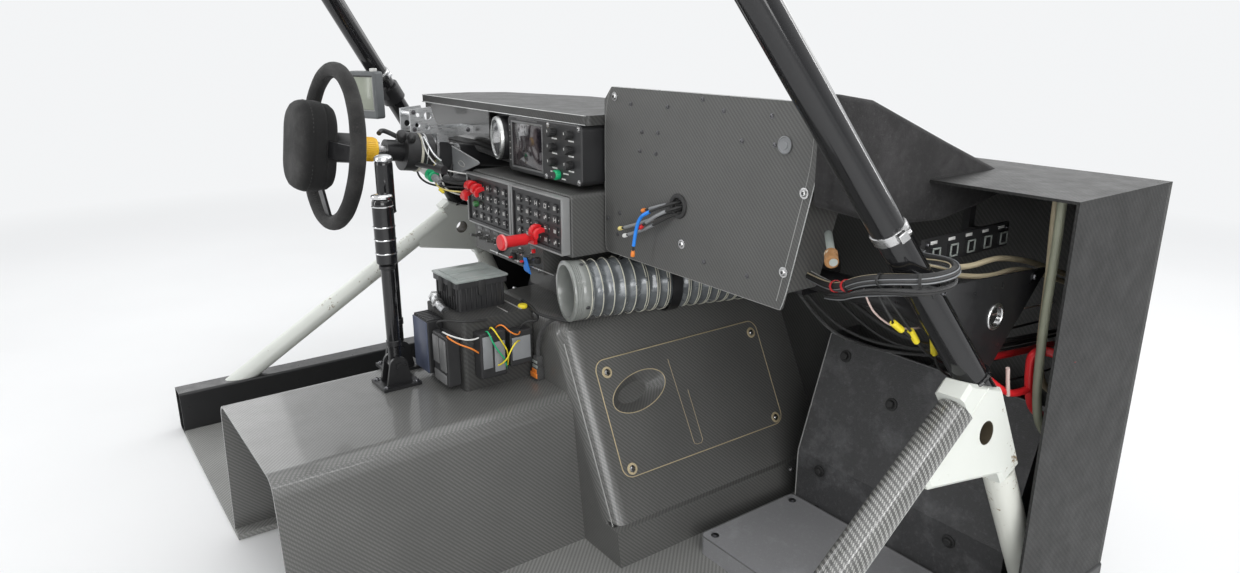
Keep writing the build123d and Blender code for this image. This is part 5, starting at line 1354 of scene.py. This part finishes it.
# Pieces made of boxes: name, look, edge, boxes
BOXES = [
    # The pod's screen carries the painted reflection patches of the screen look.
    ("pod_glass", "screen", 0.0005, [(-171, -55, 45.6, 46.9, 696, 782)]),
    ("pod_frame", "plastic_edge", 0.0006, [(-175, -51, 43.2, 44.6, 782, 786),
        (-175, -51, 43.2, 44.6, 691, 695), (-175, -171.5, 43.2, 44.6, 695, 782),
        (-54.5, -51, 43.2, 44.6, 695, 782)]),
    ("console_fittings", "rubber", 0.0012, [(-180, -172, 2, 14, 512, 524), (-128, -116, 4, 14, 508, 522),
        (-74, -66, 0, 14, 510, 526), (-30, -20, 4, 14, 520, 532), (-140, -134, 6, 14, 536, 548)]),
    ("console_pins", "red", 0.0008, [(-120, -116, -4, 4, 513, 517), (-36, -32, 2, 10, 540, 548),
        (-70, -66, -6, 2, 515, 519)]),
    ("fuse_latches", "rubber", 0.001, [(-126, -112, -158, -153, 470, 500), (-84, -70, -158, -153, 470, 500),
        (-53, -48, -110, -94, 470, 500)]),
    ("relay_face", "blue_grey", 0.001, [(-152, -88, -206, -203, 318, 422)]),
    ("relay_front", "plastic_edge", 0.001, [(-74, -48, -200.5, -198, 350, 404),
        (-44, -18, -200.5, -198, 340, 404), (-74, -20, -200, -198, 314, 334)]),
    ("relay_side", "grey_plastic", 0.001, [(29.5, 31.5, -146, -126, 350, 414),
        (29.5, 31.5, -122, -100, 340, 400), (25.5, 27.5, -82, -42, 352, 398)]),
    ("plinth_strips", "edge_soft", 0.0006, [(-120, -4, -44, -41, 440.2, 442.4),
        (-46, -4, -74, -72, 440.2, 442.0)]),
    ("plug_lock", "orange", 0.0008, [(12.6, 35.4, -36.5, -33.6, 306, 316), (15, 33, -34.5, -32, 316, 324)]),
    ("plug_ribs", "pale_plastic", 0.0006, [(14.6, 33.4, -33.2, -31.6, 326, 332),
        (14.6, 33.4, -33.2, -31.6, 336, 341)]),
]

# Hoses, wires, pipes, rods and light lines along edges, some of which are painted highlights: name, radius,
# look, points, and the sides where they aren't 10
RUNS = [
    ("column_wire_1", 2.2, "rubber", [(-398, -52, 700), (-352, -66, 668), (-318, -40, 640), (-306, 30, 636)]),
    ("column_wire_2", 1.8, "yellow_pale", [(-392, -30, 700), (-360, -58, 650), (-326, -44, 622),
        (-306, 30, 620)]),
    ("column_wire_3", 1.8, "white_plastic", [(-402, -20, 698), (-372, -34, 640), (-330, -20, 612),
        (-306, 34, 610)]),
    ("column_wire_4", 2.6, "rubber", [(-380, 20, 700), (-360, -20, 660), (-330, -12, 640), (-306, 40, 648)]),
    ("column_wire_5", 1.6, "white_plastic", [(-368, -70, 742), (-352, -72, 716), (-346, -58, 690),
        (-332, -40, 668), (-306, 34, 656)]),
    ("column_wire_6", 2.2, "rubber", [(-420, -60, 706), (-404, -76, 668), (-372, -70, 640), (-330, -30, 632),
        (-306, 36, 628)]),
    ("column_stalk", 5.2, "plastic", [(-404, -112, 742), (-408, -132, 754), (-406, -146, 757),
        (-396, -154, 752)], 16),
    ("column_link", 3.0, "alloy", [(-368, -66, 742), (-356, -60, 722), (-350, -50, 700), (-346, -38, 690)],
        14),
    ("web_edge", 1.1, "edge_soft", [(-384, -1.6, 717.6), (-380, -1.6, 719), (-314, -1.6, 708.6),
        (-246, -1.6, 697.4)]),
    # The dash lip's two pale lines are painted highlights along its edges.
    ("lip_lower_edge", 1.1, "edge", [(-632, 49.4, 796), (-560, 49.4, 796), (80, 49.4, 796), (90, 49.6, 796)]),
    ("lip_upper_edge", 0.9, "edge", [(-632, 50.4, 812.4), (-560, 50.4, 812.4), (80, 50.4, 812.4),
        (90, 50.6, 812.4)]),
    ("front_rod", 1.2, "edge", [(-222, 8, 508), (-130, 7.4, 508.6), (-40, 7.6, 509.4), (36, 9, 510)]),
    ("panel_edge", 0.9, "edge", [(124, 85.2, 864.6), (300, 85.2, 864.9), (480, 85.2, 864.9),
        (600, 85.2, 864.6), (607.4, 85.2, 858), (610.6, 85.2, 803), (586, 85.2, 700), (555, 85.2, 570),
        (549, 85.2, 562.4)]),
    ("panel_fold", 0.6, "edge_soft", [(592, 84.9, 846), (596, 84.9, 803), (573, 84.9, 702),
        (541, 84.9, 574)]),
    ("panel_edge_left", 0.5, "edge_soft", [(121, 85.3, 862), (101, 85.3, 838), (101, 85.3, 700),
        (101, 85.3, 575), (106, 85.3, 562.4), (130, 85.3, 561.6), (549, 85.3, 561.6)]),
    # The tunnel cover's rear edge line is a painted highlight on its rounded corner.
    ("tunnel_rear_edge", 1.3, "edge_soft", [(108, -16.2, 397), (132, -16.2, 350), (170, -16.2, 273),
        (210, -16.2, 194), (264, -16.2, 86)]),
    ("cool_pipe", 8.5, "alloy", [(-158, -60, 452), (-162, -120, 454), (-150, -160, 452), (-112, -168, 446),
        (-84, -166, 440)], 16),
    ("relay_wire_1", 1.5, "yellow", [(10, -120, 419), (30, -128, 436), (42, -116, 410), (34, -92, 372),
        (20, -90, 344)]),
    ("relay_wire_2", 1.5, "green", [(18, -132, 419), (38, -138, 430), (44, -128, 396), (38, -98, 356),
        (16, -92, 330)]),
    ("relay_wire_3", 1.5, "orange", [(8, -106, 419), (24, -104, 434), (38, -90, 414), (36, -70, 404),
        (22, -62, 408)]),
    ("relay_wire_4", 1.6, "white_plastic", [(-40, -186, 409), (-24, -206, 426), (8, -196, 420),
        (26, -160, 408), (22, -140, 416)]),
    ("relay_wire_5", 2.2, "rubber", [(14, -60, 409), (30, -52, 430), (38, -30, 424), (20, -20, 438),
        (-20, -30, 441)]),
    ("relay_wire_6", 2.0, "rubber", [(-60, -184, 409), (-48, -204, 432), (-20, -200, 446), (6, -160, 440),
        (2, -120, 436)]),
    ("relay_wire_7", 1.5, "yellow", [(30, -116, 352), (46, -108, 360), (48, -92, 392), (38, -74, 396),
        (27, -66, 390)]),
    ("relay_wire_8", 1.6, "orange", [(-30, -184, 409), (-12, -202, 418), (10, -186, 404), (20, -160, 392),
        (20, -148, 380)]),
    ("tunnel_wire", 3.0, "rubber", [(92, 6, 432), (60, -18, 436), (30, -30, 440), (4, -22, 444),
        (-40, -20, 446)]),
    ("tan_hose_1", 4.4, "beige", [(690, 232, 640), (704, 262, 632), (720, 294, 633), (721, 332, 636),
        (722, 367, 635), (728, 430, 622), (736, 476, 606), (748, 549, 580)]),
    ("tan_hose_2", 4.0, "beige", [(690, 246, 626), (712, 282, 618), (735, 325, 616), (735, 377, 619),
        (736, 440, 606), (744, 500, 584), (752, 549, 566)]),
    ("side_hose_1", 6.5, "olive", [(822, 318, 743), (823, 318, 700), (822, 320, 640), (820, 323, 585),
        (819, 328, 515), (820, 334, 450), (822, 352, 400), (826, 420, 352), (828, 549, 330)]),
    ("side_hose_2", 5.0, "beige", [(806, 334, 743), (806, 336, 700), (808, 340, 640), (806, 346, 570),
        (802, 360, 500), (800, 400, 430), (800, 549, 380)]),
    ("red_hose_1", 7.0, "red", [(855, 352, 512), (838, 347, 520), (818, 340, 524), (803, 336, 514),
        (801, 341, 488), (800, 349, 456), (800, 366, 420), (800, 420, 386), (800, 549, 352)]),
    ("red_hose_2", 5.5, "red", [(800, 350, 456), (797, 322, 454), (794, 296, 462), (784, 276, 478),
        (766, 270, 492), (748, 300, 500), (736, 380, 480), (730, 549, 460)]),
    ("pale_tube", 3.0, "pink", [(800, 281, 505), (799, 286, 490), (798, 292, 474), (797, 298, 458)]),
    ("corner_wire_1", 2.0, "rubber", [(716, 70, 648), (730, 80, 618), (740, 92, 594), (740, 119, 575),
        (738, 150, 556), (730, 196, 538), (722, 300, 520), (716, 549, 500)]),
    ("corner_wire_2", 2.0, "rubber", [(728, 66, 650), (737, 100, 608), (740, 130, 576), (740, 148, 555),
        (740, 172, 534), (736, 230, 500), (728, 320, 476), (720, 549, 452)]),
    ("corner_wire_3", 2.0, "rubber", [(752, 64, 652), (743, 112, 626), (739, 152, 594), (740, 184, 556),
        (740, 191, 529), (742, 206, 500), (744, 260, 470), (742, 330, 440), (738, 549, 420)]),
    ("corner_wire_4", 3.4, "rubber", [(560, 174, 592), (580, 226, 548), (628, 262, 508), (668, 290, 500),
        (724, 330, 500), (760, 549, 500)]),
    ("corner_wire_5", 2.4, "rubber", [(540, 174, 592), (566, 230, 530), (616, 268, 488), (664, 300, 486),
        (726, 344, 492), (750, 549, 486)]),
    ("corner_wire_6", 2.8, "rubber", [(480, 174, 592), (500, 240, 510), (544, 290, 470), (604, 330, 462),
        (690, 380, 470), (716, 549, 470)]),
    ("corner_wire_7", 2.4, "braid", [(470, 174, 592), (486, 240, 496), (532, 300, 452), (600, 348, 446),
        (690, 400, 460), (706, 549, 456)]),
    ("corner_wire_8", 1.4, "pink", [(700, 78, 632), (700, 92, 606), (706, 108, 588), (716, 126, 574),
        (722, 180, 560), (720, 549, 530)]),
    ("tie_rod", 5.8, "pale_plastic", [(600, 120, 682), (628, 92, 672), (660, 62, 662)], 16),
]

make_camera()
make_leads()
make_world()
make_lights()
make_stage()
dress_nodes()
make_wheel()
make_pad()
make_column()
make_pod()
make_gauge()
make_keypads()
make_console_parts()
make_bolts()
make_duct()
make_cover_parts()
lever_rings()
make_fuse_box()
make_cage_parts()
make_footwell()
make_sockets()
make_loom()
make_leg_screen()
tubes(RUNS)
for row in TURNED:
    turned_piece(*row)
for row in BOXES:
    box_piece(*row)
